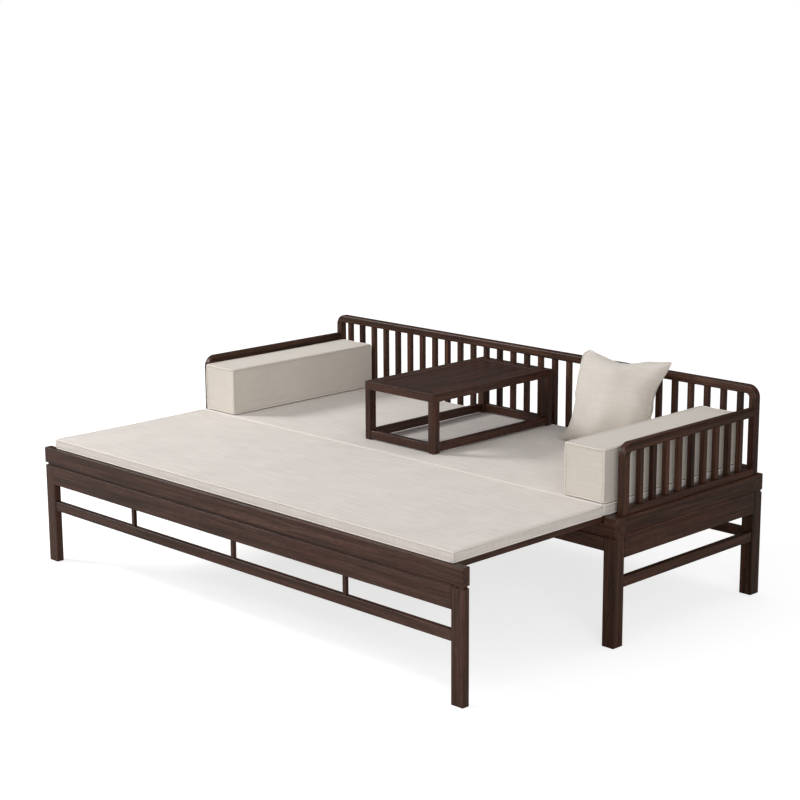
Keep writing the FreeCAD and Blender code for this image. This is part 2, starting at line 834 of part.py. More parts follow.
def pillow_ring(share):
    """Ring across a knife-edged pillow, at a share of its half width from the middle."""
    fullness = math.sqrt(1 - share ** 4)
    half_height = pillow_height / 2 - pillow_draw_in * (1 - share ** 2)
    corner_x = share * pillow_width / 2
    middle_x = corner_x - share ** 3 * pillow_draw_in
    half_rim = pillow_rim / 2
    half_thick = half_rim + (pillow_thickness / 2 - half_rim) * fullness

    def at(x, y, z):
        return Vector(x + pillow_side_lean_share * z, y, z)

    def arc(side):
        depth = half_thick if fullness > 0 else half_rim
        return Part.Arc(at(corner_x, side * half_rim, -half_height),
                        at(middle_x, side * depth, 0),
                        at(corner_x, side * half_rim, half_height)).toShape()

    def rim(z):
        return line(at(corner_x, -half_rim, z), at(corner_x, half_rim, z))

    return arc(1), arc(-1), rim(half_height), rim(-half_height)


def pillow():
    """Square throw pillow with drawn-in sides and pointed corners.

    It leans on the back and sags a little to one side.
    """
    shares = [-1, -0.9, -0.6, 0, 0.6, 0.9, 1]
    rings = [pillow_ring(share) for share in shares]
    faces = []
    for before, after in zip(rings, rings[1:]):
        for edge, next_edge in zip(before, after):
            faces.append(Part.makeRuledSurface(edge, next_edge))
    for front, back, _, _ in (rings[0], rings[-1]):
        faces.append(Part.makeRuledSurface(front, back))
    shell = Part.makeShell(faces)
    shell.sewShape()
    shape = Part.makeSolid(shell)
    if shape.Volume < 0:
        shape.reverse()
    shape.rotate(ORIGIN, X_AXIS, -pillow_lean_degrees)
    box = shape.optimalBoundingBox(False, False)
    shape.translate(Vector(pillow_x, back_inner_y - pillow_thickness - box.YMax,
                           cushion_seat - box.ZMin))
    railing = Part.makeCompound([back_top_rail(), spindles(back_spindle_spans())])
    shape.translate(approach(shape, railing, Y_AXIS))
    return shape


def approach(shape, other, direction):
    """Way that a piece has to move along a direction until it all but touches another one."""
    moved = shape.copy()
    way = Vector(0, 0, 0)
    for _ in range(approach_steps):
        step = direction * (moved.distToShape(other)[0] - soft_clearance)
        moved.translate(step)
        way += step
    return way


# Kang table, about its own middle and then set on the rear mattress


def table_leg_spans(side_x, side_y):
    """Spans along X and Y of one table leg, under the corner of the top frame."""
    x = sorted((side_x * table_width / 2, side_x * (table_width / 2 - table_leg)))
    y = sorted((side_y * table_length / 2, side_y * (table_length / 2 - table_leg)))
    return tuple(x), tuple(y)


def table_leg_tenon_spans(side_x, side_y):
    """Tenon on top of a table leg."""
    x, y = table_leg_spans(side_x, side_y)
    under = table_height - table_frame_thickness
    return (around(sum(x) / 2, table_tenon), around(sum(y) / 2, table_tenon),
            (under, under + table_tenon_height))


def table_stretcher_z():
    """Height of the lower stretchers."""
    return (table_stretcher_lift, table_stretcher_lift + table_stretcher_height)


def table_stretcher_tenon_z():
    """Height of the tenons of the lower stretchers."""
    low, high = table_stretcher_z()
    return (low + tenon_shoulder, high - tenon_shoulder)


def table_stretcher_middle(half_size, side):
    """Centre line of a stretcher behind a face of the table."""
    return side * (half_size - table_stretcher_setback - table_stretcher_thickness / 2)


def short_stretcher_tenon_spans(side_y):
    """Tenons at both ends of a stretcher along X, as one bar."""
    reach = table_width / 2 - table_leg + table_stretcher_tenon
    return ((-reach, reach),
            around(table_stretcher_middle(table_length / 2, side_y),
                   table_stretcher_tenon_thickness),
            table_stretcher_tenon_z())


def long_stretcher_tenon_spans(side_x):
    """Tenons at both ends of a stretcher along Y, as one bar."""
    reach = table_length / 2 - table_leg + table_stretcher_tenon
    return (around(table_stretcher_middle(table_width / 2, side_x),
                   table_stretcher_tenon_thickness),
            (-reach, reach), table_stretcher_tenon_z())


def table_outline():
    """Space of the whole table, rounded at its four upright corners."""
    space = block((-table_width / 2, table_width / 2), (-table_length / 2, table_length / 2),
                  (0, table_height))
    return eased(space, table_corner_round, Z_AXIS)


def table_leg_piece(side_x, side_y):
    """One leg of the table."""
    x, y = table_leg_spans(side_x, side_y)
    post = block(x, y, (0, table_height - table_frame_thickness))
    post = eased(post, table_edge, Z_AXIS)
    tools = [pocket(*short_stretcher_tenon_spans(side_y)), pocket(*long_stretcher_tenon_spans(side_x))]
    leg = cut_all(fused([post, block(*table_leg_tenon_spans(side_x, side_y))]), tools)
    return leg.common(table_outline())


def table_short_stretcher(side_y):
    """Lower stretcher along X."""
    reach = table_width / 2 - table_leg
    middle = table_stretcher_middle(table_length / 2, side_y)
    bar = block((-reach, reach), around(middle, table_stretcher_thickness), table_stretcher_z())
    return fused([eased(bar, table_edge, X_AXIS), block(*short_stretcher_tenon_spans(side_y))])


def table_long_stretcher(side_x):
    """Lower stretcher along Y."""
    reach = table_length / 2 - table_leg
    middle = table_stretcher_middle(table_width / 2, side_x)
    bar = block(around(middle, table_stretcher_thickness), (-reach, reach), table_stretcher_z())
    bar = eased(bar, table_edge, Y_AXIS)
    return fused([bar, block(*long_stretcher_tenon_spans(side_x))])


def panel_spans(grow=0.0):
    """Panel of the table top inside its frame, with or without its tongue."""
    half_x = table_width / 2 - table_frame_width + grow
    half_y = table_length / 2 - table_frame_width + grow
    return (-half_x, half_x), (-half_y, half_y)


def table_tongue_z():
    """Height of the tongue round the panel."""
    top = table_height - table_panel_drop
    return around(top - table_panel_thickness / 2, table_tongue_thickness)


def table_panel():
    """Panel with a tongue all round."""
    top = table_height - table_panel_drop
    field = block(*panel_spans(), (top - table_panel_thickness, top))
    tongue = block(*panel_spans(table_tongue), table_tongue_z())
    return fused([field, tongue])


def table_frame_rail(outline):
    """One mitred rail of the top frame from its outline seen from above."""
    under = table_height - table_frame_thickness
    points = [Vector(x, y, under) for x, y in outline]
    rail = Part.Face(Part.makePolygon(points + points[:1])).extrude(
        Vector(0, 0, table_frame_thickness))
    groove_x, groove_y = panel_spans(table_tongue)
    tools = [block(grown(groove_x), grown(groove_y), grown(table_tongue_z()))]
    for side_x in (-1, 1):
        for side_y in (-1, 1):
            tools.append(pocket(*table_leg_tenon_spans(side_x, side_y)))
    return cut_all(rail, tools).common(table_outline())


def table_short_rail(side_y):
    """Mitred top rail along X."""
    outer_x, outer_y = table_width / 2, side_y * table_length / 2
    inner_x, inner_y = outer_x - table_frame_width, outer_y - side_y * table_frame_width
    return table_frame_rail([(-outer_x, outer_y), (outer_x, outer_y),
                             (inner_x, inner_y), (-inner_x, inner_y)])


def table_long_rail(side_x):
    """Mitred top rail along Y."""
    outer_x, outer_y = side_x * table_width / 2, table_length / 2
    inner_x, inner_y = outer_x - side_x * table_frame_width, outer_y - table_frame_width
    return table_frame_rail([(outer_x, -outer_y), (outer_x, outer_y),
                             (inner_x, inner_y), (inner_x, -inner_y)])


def table_pieces():
    """Every piece of the kang table, where it stands on the rear mattress."""
    made = {"table_panel": table_panel()}
    for name_y, side_y in (("front", -1), ("back", 1)):
        made["table_%s_rail" % name_y] = table_short_rail(side_y)
        made["table_%s_stretcher" % name_y] = table_short_stretcher(side_y)
        for name_x, side_x in (("left", -1), ("right", 1)):
            made["table_%s_%s_leg" % (name_y, name_x)] = table_leg_piece(side_x, side_y)
    for name_x, side_x in (("left", -1), ("right", 1)):
        made["table_%s_rail" % name_x] = table_long_rail(side_x)
        made["table_%s_stretcher" % name_x] = table_long_stretcher(side_x)
    middle_y = back_inner_y - table_place_back_gap - table_length / 2
    place = Vector(table_place_x, middle_y, cushion_seat)
    for shape in made.values():
        shape.translate(place)
    down = approach(made["table_front_left_leg"], rear_mattress(), Vector(0, 0, -1))
    for shape in made.values():
        shape.translate(down)
    return made


# The whole bed


def main_frame_pieces():
    """Rear frame: legs, rails, aprons, stretchers and fixed slats."""
    made = {
        "main_front_seat_rail": main_front_rail(),
        "main_back_seat_rail": main_back_rail(),
        "main_front_apron": long_apron(main_front_y, 1, main_front_apron_height),
        "main_back_apron": cut_all(long_apron(back_y, -1), strut_pockets(back_y, -1)),
        "main_back_stretcher": cut_all(long_stretcher(back_y, -1), strut_pockets(back_y, -1)),
        "main_back_ledge": back_ledge(),
        "main_back_struts": struts(back_y, -1),
        "main_fixed_slats": fixed_slats(),
    }
    right = {
        "main_%s_seat_rail": main_side_rail(),
        "main_%s_apron": side_apron(),
        "main_%s_stretcher": side_stretcher(),
        "main_front_%s_leg": main_leg(True),
        "main_back_%s_leg": main_leg(False),
    }
    made.update(pairs(right))
    return made


def railing_pieces():
    """Back and arm railings."""
    made = {
        "back_top_rail": back_top_rail(),
        "back_bottom_rail": back_bottom_rail(),
        "back_spindles": spindles(back_spindle_spans()),
    }
    right = {
        "back_%s_post": back_post(),
        "%s_arm_front_post": arm_front_post(),
        "%s_arm_top_rail": arm_top_rail(),
        "%s_arm_bottom_rail": arm_bottom_rail(),
        "%s_arm_spindles": spindles(arm_spindle_spans()),
    }
    made.update(pairs(right))
    return made


def pull_out_pieces():
    """Front frame, which slides in and out."""
    made = {
        "pull_out_front_rail": pull_out_front_rail(),
        "pull_out_apron": cut_all(long_apron(front_y, 1), strut_pockets(front_y, 1)),
        "pull_out_stretcher": cut_all(long_stretcher(front_y, 1), strut_pockets(front_y, 1)),
        "pull_out_struts": struts(front_y, 1),
        "pull_out_slats": moving_slats(),
        "pull_out_rear_bar": rear_bar(),
    }
    made.update(pairs({"pull_out_%s_leg": pull_out_leg()}))
    return made


def soft_pieces():
    """Mattresses, bolsters and the throw pillow."""
    made = {
        "front_mattress": mattress(front_y + mattress_front_inset, mattress_seam_y),
        "rear_mattress": rear_mattress(),
        "throw_pillow": pillow(),
    }
    made.update(pairs({"%s_bolster": bolster()}))
    return made


def pairs(right):
    """Right-hand pieces under their names, and their mirror images for the left."""
    made = {}
    for name, shape in right.items():
        made[name % "right"] = shape
        made[name % "left"] = mirrored(shape)
    return made


def main():
    """Make every piece and write one file for each."""
    os.makedirs("parts", exist_ok=True)
    for group in (main_frame_pieces(), railing_pieces(), pull_out_pieces(), soft_pieces(),
                  table_pieces()):
        for name, shape in group.items():
            shape.exportStep("parts/%s.step" % name)
    print("travel of the pull-out frame, mm:", slide_travel)


main()
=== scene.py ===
"""Finishes, soft goods, light and camera of a luohan daybed with a pull-out front.

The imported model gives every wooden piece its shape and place. This script gives the wood its
walnut finish, makes the linen mattresses, bolsters and pillow, and sets up the studio.
"""
from __future__ import annotations

import json
import logging
import math
from collections.abc import Iterable
from dataclasses import dataclass
from enum import Enum

import bpy
import numpy as np
from mathutils import Matrix, Vector, noise
from mathutils.bvhtree import BVHTree

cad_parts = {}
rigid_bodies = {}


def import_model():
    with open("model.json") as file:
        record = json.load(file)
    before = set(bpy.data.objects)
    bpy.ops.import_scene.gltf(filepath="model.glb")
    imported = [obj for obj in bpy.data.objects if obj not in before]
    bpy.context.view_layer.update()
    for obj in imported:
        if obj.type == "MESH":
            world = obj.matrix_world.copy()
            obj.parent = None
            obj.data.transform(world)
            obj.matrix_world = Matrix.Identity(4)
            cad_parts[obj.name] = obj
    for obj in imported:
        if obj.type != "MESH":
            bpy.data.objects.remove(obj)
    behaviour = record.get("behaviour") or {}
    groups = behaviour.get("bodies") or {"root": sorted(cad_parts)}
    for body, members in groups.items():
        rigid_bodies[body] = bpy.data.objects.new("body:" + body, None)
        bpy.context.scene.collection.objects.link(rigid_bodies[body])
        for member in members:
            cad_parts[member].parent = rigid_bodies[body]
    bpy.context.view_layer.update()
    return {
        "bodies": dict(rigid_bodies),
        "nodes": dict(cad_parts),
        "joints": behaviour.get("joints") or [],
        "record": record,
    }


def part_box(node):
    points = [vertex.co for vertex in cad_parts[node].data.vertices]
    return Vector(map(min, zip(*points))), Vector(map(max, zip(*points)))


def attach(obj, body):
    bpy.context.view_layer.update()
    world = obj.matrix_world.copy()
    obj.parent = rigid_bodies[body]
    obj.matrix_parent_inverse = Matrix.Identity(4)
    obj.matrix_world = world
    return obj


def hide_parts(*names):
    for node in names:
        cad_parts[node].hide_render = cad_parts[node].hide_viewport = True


LOG = logging.getLogger("daybed")
MILLIMETRE = 0.001
WHITE = (1.0, 1.0, 1.0, 1.0)
# The sRGB curve is a straight line for dark values and a power above them.
SRGB_STEPS = 255
SRGB_DARK_LIMIT = 0.04045
SRGB_DARK_SLOPE = 12.92
SRGB_OFFSET = 0.055
SRGB_POWER = 2.4


class Grain(Enum):
    """Axis along which a piece of wood was cut, as the index of that axis."""

    ALONG_X = 0
    ALONG_Y = 1
    ALONG_Z = 2


class Panel(Enum):
    """Panels of a box cushion, each cut and sewn on its own."""

    LEFT = 0
    RIGHT = 1
    FRONT = 2
    BACK = 3
    BOTTOM = 4
    TOP = 5


def linear(colour: str) -> tuple[float, float, float, float]:
    """Turn an sRGB hex colour into a linear one with full opacity.

    Args:
        colour: Six hex digits after a hash sign.

    Returns:
        Linear red, green and blue, and one.
    """
    channels = [share / SRGB_STEPS for share in bytes.fromhex(colour[1:])]
    red, green, blue = [((value + SRGB_OFFSET) / (1 + SRGB_OFFSET)) ** SRGB_POWER
                        if value > SRGB_DARK_LIMIT else value / SRGB_DARK_SLOPE
                        for value in channels]
    return (red, green, blue, 1.0)


def add(tree: bpy.types.NodeTree, kind: str, inputs: dict | None = None,
        **settings: object) -> bpy.types.Node:
    """Add a node to a tree with its settings, constants and links.

    Args:
        tree: Tree that takes the node.
        kind: The node's type.
        inputs: For an input's name or place, its value or the socket that feeds it.
        settings: Properties of the node itself.

    Returns:
        The new node.
    """
    node = tree.nodes.new(kind)
    for name, value in settings.items():
        setattr(node, name, value)
    for place, value in (inputs or {}).items():
        if isinstance(value, bpy.types.NodeSocket):
            tree.links.new(value, node.inputs[place])
        else:
            node.inputs[place].default_value = value
    return node


def toned(tree: bpy.types.NodeTree, value: bpy.types.NodeSocket, places: Iterable[float],
          colours: Iterable[str]) -> bpy.types.NodeSocket:
    """Colour that changes evenly from one tone to the next as a value rises.

    Args:
        tree: Tree that takes the nodes.
        value: Socket with the value.
        places: Value at which each tone is reached, in rising order.
        colours: The tones as sRGB colours.

    Returns:
        Socket with the colour.
    """
    places, tones = list(places), [linear(colour) for colour in colours]
    shown = tones[0]
    for start, end, tone in zip(places, places[1:], tones[1:]):
        share = add(tree, "ShaderNodeMapRange",
                    {"Value": value, "From Min": start, "From Max": end}).outputs[0]
        shown = add(tree, "ShaderNodeMix", {0: share, 6: shown, 7: tone},
                    data_type="RGBA").outputs[2]
    return shown


@dataclass(frozen=True)
class Figure:
    """Noise whose cells are narrow across the grain and long along it, in metres."""

    width: float
    length: float
    detail: float
    distortion: float = 0.0


@dataclass(frozen=True)
class Row:
    """Evenly spaced pieces that share one mesh, so that each can have its own tone."""

    axis: int
    pitch: float
    first: float


@dataclass(frozen=True)
class Walnut:
    """Planed walnut under satin lacquer: dark straight streaks, fine open pores, a soft gloss."""

    name: str
    dark: str
    middle: str
    light: str
    red: str
    roughness: float = 0.4
    gloss: float = 0.25
    coat: float = 0.04
    coat_roughness: float = 0.3
    lacquer_ior: float = 1.5
    # Real fibres and pores are a few tenths of a millimetre wide and would not show, so they
    # are drawn coarser.
    streaks: Figure = Figure(15 * MILLIMETRE, 480 * MILLIMETRE, detail=4.0, distortion=0.9)
    fibres: Figure = Figure(4 * MILLIMETRE, 130 * MILLIMETRE, detail=2.0)
    pores: Figure = Figure(1.5 * MILLIMETRE, 22 * MILLIMETRE, detail=1.0)
    boards: Figure = Figure(340 * MILLIMETRE, 1360 * MILLIMETRE, detail=1.0)
    reddish: Figure = Figure(26 * MILLIMETRE, 312 * MILLIMETRE, detail=2.0)
    fibre_share: float = 0.38
    board_share: float = 0.22
    tone_places: tuple[float, float, float] = (0.36, 0.5, 0.64)
    red_range: tuple[float, float] = (0.5, 0.72)
    red_share: float = 0.6
    pore_range: tuple[float, float] = (0.6, 0.7)
    pore_depth: float = 0.25 * MILLIMETRE
    pore_relief: float = 0.35
    fibre_range: tuple[float, float] = (0.3, 0.7)
    roughness_spread: tuple[float, float] = (-0.06, 0.08)
    edge_radius: float = 1.6 * MILLIMETRE
    edge_samples: int = 4
    # Where the edges turn lighter, partly from rubbed lacquer and partly as a painted highlight.
    wear_range: tuple[float, float] = (0.72, 0.9)
    wear_share: float = 0.5

    def pattern(self, tree: bpy.types.NodeTree, place: bpy.types.NodeSocket, grain: Grain,
                figure: Figure) -> bpy.types.NodeSocket:
        """Draw one figure of the wood along the grain.

        Args:
            tree: Material's tree.
            place: Object coordinates.
            grain: Direction of the grain.
            figure: What to draw.

        Returns:
            Value of the figure at each place.
        """
        scale = [1 / figure.width] * 3
        scale[grain.value] = 1 / figure.length
        vector = add(tree, "ShaderNodeMapping", {"Vector": place, "Scale": scale}).outputs[0]
        return add(tree, "ShaderNodeTexNoise",
                   {"Vector": vector, "Scale": 1.0, "Detail": figure.detail,
                    "Distortion": figure.distortion}).outputs["Fac"]

    def piece_tone(self, tree: bpy.types.NodeTree, place: bpy.types.NodeSocket,
                   row: Row) -> bpy.types.NodeSocket:
        """Random value that is the same all over one piece of a row.

        Args:
            tree: Material's tree.
            place: Object coordinates.
            row: Spacing of the pieces.

        Returns:
            Value from zero to one.
        """
        split = add(tree, "ShaderNodeSeparateXYZ", {0: place})
        start = row.first - row.pitch / 2
        moved = add(tree, "ShaderNodeMath", {0: split.outputs[row.axis], 1: start},
                    operation="SUBTRACT").outputs[0]
        share = add(tree, "ShaderNodeMath", {0: moved, 1: row.pitch},
                    operation="DIVIDE").outputs[0]
        whole = add(tree, "ShaderNodeMath", {0: share}, operation="FLOOR").outputs[0]
        return add(tree, "ShaderNodeTexWhiteNoise", {"W": whole},
                   noise_dimensions="1D").outputs["Value"]

    def wood_colour(self, tree: bpy.types.NodeTree, tone: bpy.types.NodeSocket,
                    reddish: bpy.types.NodeSocket,
                    open_pores: bpy.types.NodeSocket) -> bpy.types.NodeSocket:
        """Colour of the wood away from its edges.

        Args:
            tree: Material's tree.
            tone: How light the figure of the wood is.
            reddish: Where the wood turns red.
            open_pores: Where a pore lies open.

        Returns:
            Socket with the colour.
        """
        colour = toned(tree, tone, self.tone_places, (self.dark, self.middle, self.light))
        start, end = self.red_range
        share = add(tree, "ShaderNodeMapRange",
                    {"Value": reddish, "From Min": start, "From Max": end,
                     "To Max": self.red_share}).outputs[0]
        colour = add(tree, "ShaderNodeMix", {0: share, 6: colour, 7: linear(self.red)},
                     data_type="RGBA").outputs[2]
        return add(tree, "ShaderNodeMix", {0: open_pores, 6: colour, 7: linear(self.dark)},
                   data_type="RGBA").outputs[2]

    def worn(self, tree: bpy.types.NodeTree,
             rounding: bpy.types.NodeSocket) -> bpy.types.NodeSocket:
        """How much lighter the edges are: partly lacquer rubbed off, partly a painted highlight
        along the edges.

        Args:
            tree: Material's tree.
            rounding: Normals that turn evenly over the edges.

        Returns:
            Share from zero to the largest lightening of the edges.
        """
        facing = add(tree, "ShaderNodeNewGeometry").outputs["True Normal"]
        even = add(tree, "ShaderNodeVectorMath", {0: rounding, 1: facing},
                   operation="DOT_PRODUCT").outputs["Value"]
        start, end = self.wear_range
        return add(tree, "ShaderNodeMapRange",
                   {"Value": even, "From Min": start, "From Max": end,
                    "To Min": self.wear_share, "To Max": 0.0}).outputs[0]

    def material(self, grain: Grain, row: Row | None = None) -> bpy.types.Material:
        """Make the finish for one direction of the grain, once.

        Args:
            grain: Direction of the grain.
            row: Spacing of the pieces, where one mesh holds many.

        Returns:
            The material.
        """
        name = "%s_%s" % (self.name, grain.name.lower())
        if row:
            name += "_every_%d_mm" % round(row.pitch / MILLIMETRE)
        if name in bpy.data.materials:
            return bpy.data.materials[name]
        made = bpy.data.materials.new(name)
        made.use_nodes = True
        tree = made.node_tree
        shader = tree.nodes["Principled BSDF"]
        place = add(tree, "ShaderNodeTexCoord").outputs["Object"]
        streaks, fibres, pores, reddish = [
            self.pattern(tree, place, grain, figure)
            for figure in (self.streaks, self.fibres, self.pores, self.reddish)]
        boards = (self.piece_tone(tree, place, row) if row
                  else self.pattern(tree, place, grain, self.boards))
        tone = add(tree, "ShaderNodeMix", {"Factor": self.fibre_share, 2: streaks, 3: fibres},
                   data_type="FLOAT").outputs[0]
        tone = add(tree, "ShaderNodeMix", {"Factor": self.board_share, 2: tone, 3: boards},
                   data_type="FLOAT").outputs[0]
        start, end = self.pore_range
        open_pores = add(tree, "ShaderNodeMapRange",
                         {"Value": pores, "From Min": start, "From Max": end}).outputs[0]
        rounding = add(tree, "ShaderNodeBevel", {"Radius": self.edge_radius},
                       samples=self.edge_samples).outputs[0]
        colour = self.wood_colour(tree, tone, reddish, open_pores)
        # Edges turn lighter: partly rubbed lacquer, partly a painted highlight.
        colour = add(tree, "ShaderNodeMix",
                     {0: self.worn(tree, rounding), 6: colour, 7: linear(self.light)},
                     data_type="RGBA").outputs[2]
        tree.links.new(colour, shader.inputs["Base Color"])
        start, end = self.fibre_range
        less, more = self.roughness_spread
        roughness = add(tree, "ShaderNodeMapRange",
                        {"Value": fibres, "From Min": start, "From Max": end,
                         "To Min": self.roughness + less, "To Max": self.roughness + more})
        tree.links.new(roughness.outputs[0], shader.inputs["Roughness"])
        height = add(tree, "ShaderNodeMath", {0: fibres, 1: open_pores}, operation="SUBTRACT")
        bump = add(tree, "ShaderNodeBump",
                   {"Strength": self.pore_relief, "Distance": self.pore_depth,
                    "Height": height.outputs[0], "Normal": rounding})
        tree.links.new(bump.outputs[0], shader.inputs["Normal"])
        shader.inputs["IOR"].default_value = self.lacquer_ior
        shader.inputs["Specular IOR Level"].default_value = self.gloss
        shader.inputs["Coat Weight"].default_value = self.coat
        shader.inputs["Coat Roughness"].default_value = self.coat_roughness
        return made


@dataclass(frozen=True)
class Linen:
    """Washed linen in a plain weave: matt, pale, with slubs along the weft and a soft sheen."""

    name: str
    shade: str
    middle: str
    light: str
    # Colour of the painted shade beside the piping, where the groove of the seam would lie in
    # shade.
    seam: str = "#8f867a"
    # Real threads are 0.6 mm apart and would not show, so they are drawn coarser.
    thread_spacing: float = 2.4 * MILLIMETRE
    slub_width: float = 6 * MILLIMETRE
    slub_length: float = 120 * MILLIMETRE
    slub_detail: float = 3.0
    tint_size: float = 160 * MILLIMETRE
    tint_detail: float = 2.0
    warp_share: float = 0.3
    tint_share: float = 0.2
    weave_share: float = 0.03
    tone_places: tuple[float, float, float] = (0.4, 0.5, 0.6)
    weave_depth: float = 0.2 * MILLIMETRE
    weave_relief: float = 0.3
    slub_relief: float = 0.6
    roughness: float = 0.88
    sheen: float = 0.18
    sheen_roughness: float = 0.6
    gloss: float = 0.25

    def threads(self, tree: bpy.types.NodeTree,
                flat: bpy.types.NodeSocket) -> bpy.types.NodeSocket:
        """Wave that rises over one thread and falls under the next.

        Args:
            tree: Material's tree.
            flat: Distance across the threads.

        Returns:
            Value from minus one to one.
        """
        turn = add(tree, "ShaderNodeMath", {0: flat, 1: math.pi / self.thread_spacing},
                   operation="MULTIPLY").outputs[0]
        return add(tree, "ShaderNodeMath", {0: turn}, operation="SINE").outputs[0]

    def blotches(self, tree: bpy.types.NodeTree, place: bpy.types.NodeSocket,
                 size: tuple[float, float], detail: float) -> bpy.types.NodeSocket:
        """Uneven patches of the cloth.

        Args:
            tree: Material's tree.
            place: Flat coordinates of the cloth.
            size: Size of a patch along both of these coordinates, in metres.
            detail: How ragged the patches are.

        Returns:
            Value from zero to one.
        """
        scale = (1 / size[0], 1 / size[1], 1.0)
        vector = add(tree, "ShaderNodeMapping", {"Vector": place, "Scale": scale}).outputs[0]
        return add(tree, "ShaderNodeTexNoise",
                   {"Vector": vector, "Scale": 1.0, "Detail": detail}).outputs["Fac"]

    def material(self) -> bpy.types.Material:
        """Make the cloth's material, once. It follows the cloth's own flat coordinates."""
        if self.name in bpy.data.materials:
            return bpy.data.materials[self.name]
        made = bpy.data.materials.new(self.name)
        made.use_nodes = True
        tree = made.node_tree
        shader = tree.nodes["Principled BSDF"]
        place = add(tree, "ShaderNodeUVMap", uv_map="cloth").outputs[0]
        split = add(tree, "ShaderNodeSeparateXYZ", {0: place})
        weave = add(tree, "ShaderNodeMath",
                    {0: self.threads(tree, split.outputs[0]),
                     1: self.threads(tree, split.outputs[1])},
                    operation="MULTIPLY").outputs[0]
        weft, warp, tint = [
            self.blotches(tree, place, size, detail) for size, detail in (
                ((self.slub_length, self.slub_width), self.slub_detail),
                ((self.slub_width, self.slub_length), self.slub_detail),
                ((self.tint_size, self.tint_size), self.tint_detail))]
        tone = add(tree, "ShaderNodeMix", {"Factor": self.warp_share, 2: weft, 3: warp},
                   data_type="FLOAT").outputs[0]
        tone = add(tree, "ShaderNodeMix", {"Factor": self.tint_share, 2: tone, 3: tint},
                   data_type="FLOAT").outputs[0]
        tone = add(tree, "ShaderNodeMath", {0: weave, 1: self.weave_share, 2: tone},
                   operation="MULTIPLY_ADD").outputs[0]
        colour = toned(tree, tone, self.tone_places, (self.shade, self.middle, self.light))
        # Painted shade: the cloth darkens towards the seam colour where the point's seam value
        # says the groove beside the piping lies in shade.
        painted_seam_shade = add(tree, "ShaderNodeAttribute", attribute_name="seam").outputs["Fac"]
        colour = add(tree, "ShaderNodeMix", {0: painted_seam_shade, 6: colour, 7: linear(self.seam)},
                     data_type="RGBA").outputs[2]
        tree.links.new(colour, shader.inputs["Base Color"])
        height = add(tree, "ShaderNodeMath", {0: weft, 1: self.slub_relief, 2: weave},
                     operation="MULTIPLY_ADD").outputs[0]
        bump = add(tree, "ShaderNodeBump", {"Strength": self.weave_relief,
                                            "Distance": self.weave_depth, "Height": height})
        tree.links.new(bump.outputs[0], shader.inputs["Normal"])
        shader.inputs["Roughness"].default_value = self.roughness
        shader.inputs["Sheen Weight"].default_value = self.sheen
        shader.inputs["Sheen Roughness"].default_value = self.sheen_roughness
        shader.inputs["Specular IOR Level"].default_value = self.gloss
        return made


# The wood is nearly black in the shade and brown where light falls on it, with a satin sheen. The
# front frame's walnut is painted a little lighter, painted light for the light that falls on its
# front faces; the slats have less lacquer, the table the most.
FRAME_WALNUT = Walnut("walnut_frame", "#1e0f09", "#3b2419", "#593a2a", "#452118")
FRONT_WALNUT_PAINTED_LIGHT = Walnut("walnut_front", "#24150e", "#412b22", "#5b4136", "#4d2c26")
SLAT_WALNUT = Walnut("walnut_slats", "#2c1b14", "#4b3227", "#68493a", "#50322a", roughness=0.5)
TABLE_WALNUT = Walnut("walnut_table", "#241109", "#3d251c", "#55372a", "#4d271e", roughness=0.3,
                      coat=0.08)
# The cloth is greyish white with faint streaks. Its piping is painted paler, a painted highlight
# that makes the seams look as if they catch the light, and the bolsters and the pillow are a
# little warmer than the mattresses.
MATTRESS_LINEN = Linen("mattress_linen_weave", "#cbc3bc", "#d2cac3", "#d9d2cb")
BOLSTER_LINEN = Linen("bolster_linen_weave", "#c9c1b7", "#ccc4ba", "#d0c8be")
PILLOW_LINEN = Linen("pillow_linen_weave", "#c9c1b8", "#ccc4bb", "#d0c9c0")
MATTRESS_PIPING_PAINTED_HIGHLIGHT = Linen("mattress_linen_piping", "#dad3cc", "#ddd6cf", "#e0dad3")
BOLSTER_PIPING_PAINTED_HIGHLIGHT = Linen("bolster_linen_piping", "#d0c8be", "#d3cbc1", "#d6cec5")
BACK_SPINDLE_ROW = Row(axis=0, pitch=65.96 * MILLIMETRE, first=-923.5 * MILLIMETRE)
ARM_SPINDLE_ROW = Row(axis=1, pitch=64.7 * MILLIMETRE, first=88.7 * MILLIMETRE)
SLAT_ROW = Row(axis=0, pitch=65.4 * MILLIMETRE, first=-915.6 * MILLIMETRE)


@dataclass(frozen=True)
class WoodenAssembly:
    """Wooden pieces of one sub-assembly, sorted by the direction of their grain."""

    finish: Walnut
    along_x: tuple[str, ...] = ()
    along_y: tuple[str, ...] = ()
    along_z: tuple[str, ...] = ()
    row: Row | None = None

    def dress(self, nodes: dict[str, bpy.types.Object]) -> list[str]:
        """Give every piece the walnut finish along its own grain.

        Args:
            nodes: The model's pieces by name.

        Returns:
            Names of the pieces that were dressed.
        """
        dressed = []
        for grain, names in ((Grain.ALONG_X, self.along_x), (Grain.ALONG_Y, self.along_y),
                             (Grain.ALONG_Z, self.along_z)):
            for name in names:
                piece = nodes[name]
                piece.data.materials.clear()
                piece.data.materials.append(self.finish.material(grain, self.row))
                dressed.append(name)
        return dressed


def sided(*patterns: str) -> tuple[str, ...]:
    """Names of left and right pieces, from patterns with a gap for the side."""
    return tuple(pattern % side for pattern in patterns for side in ("left", "right"))


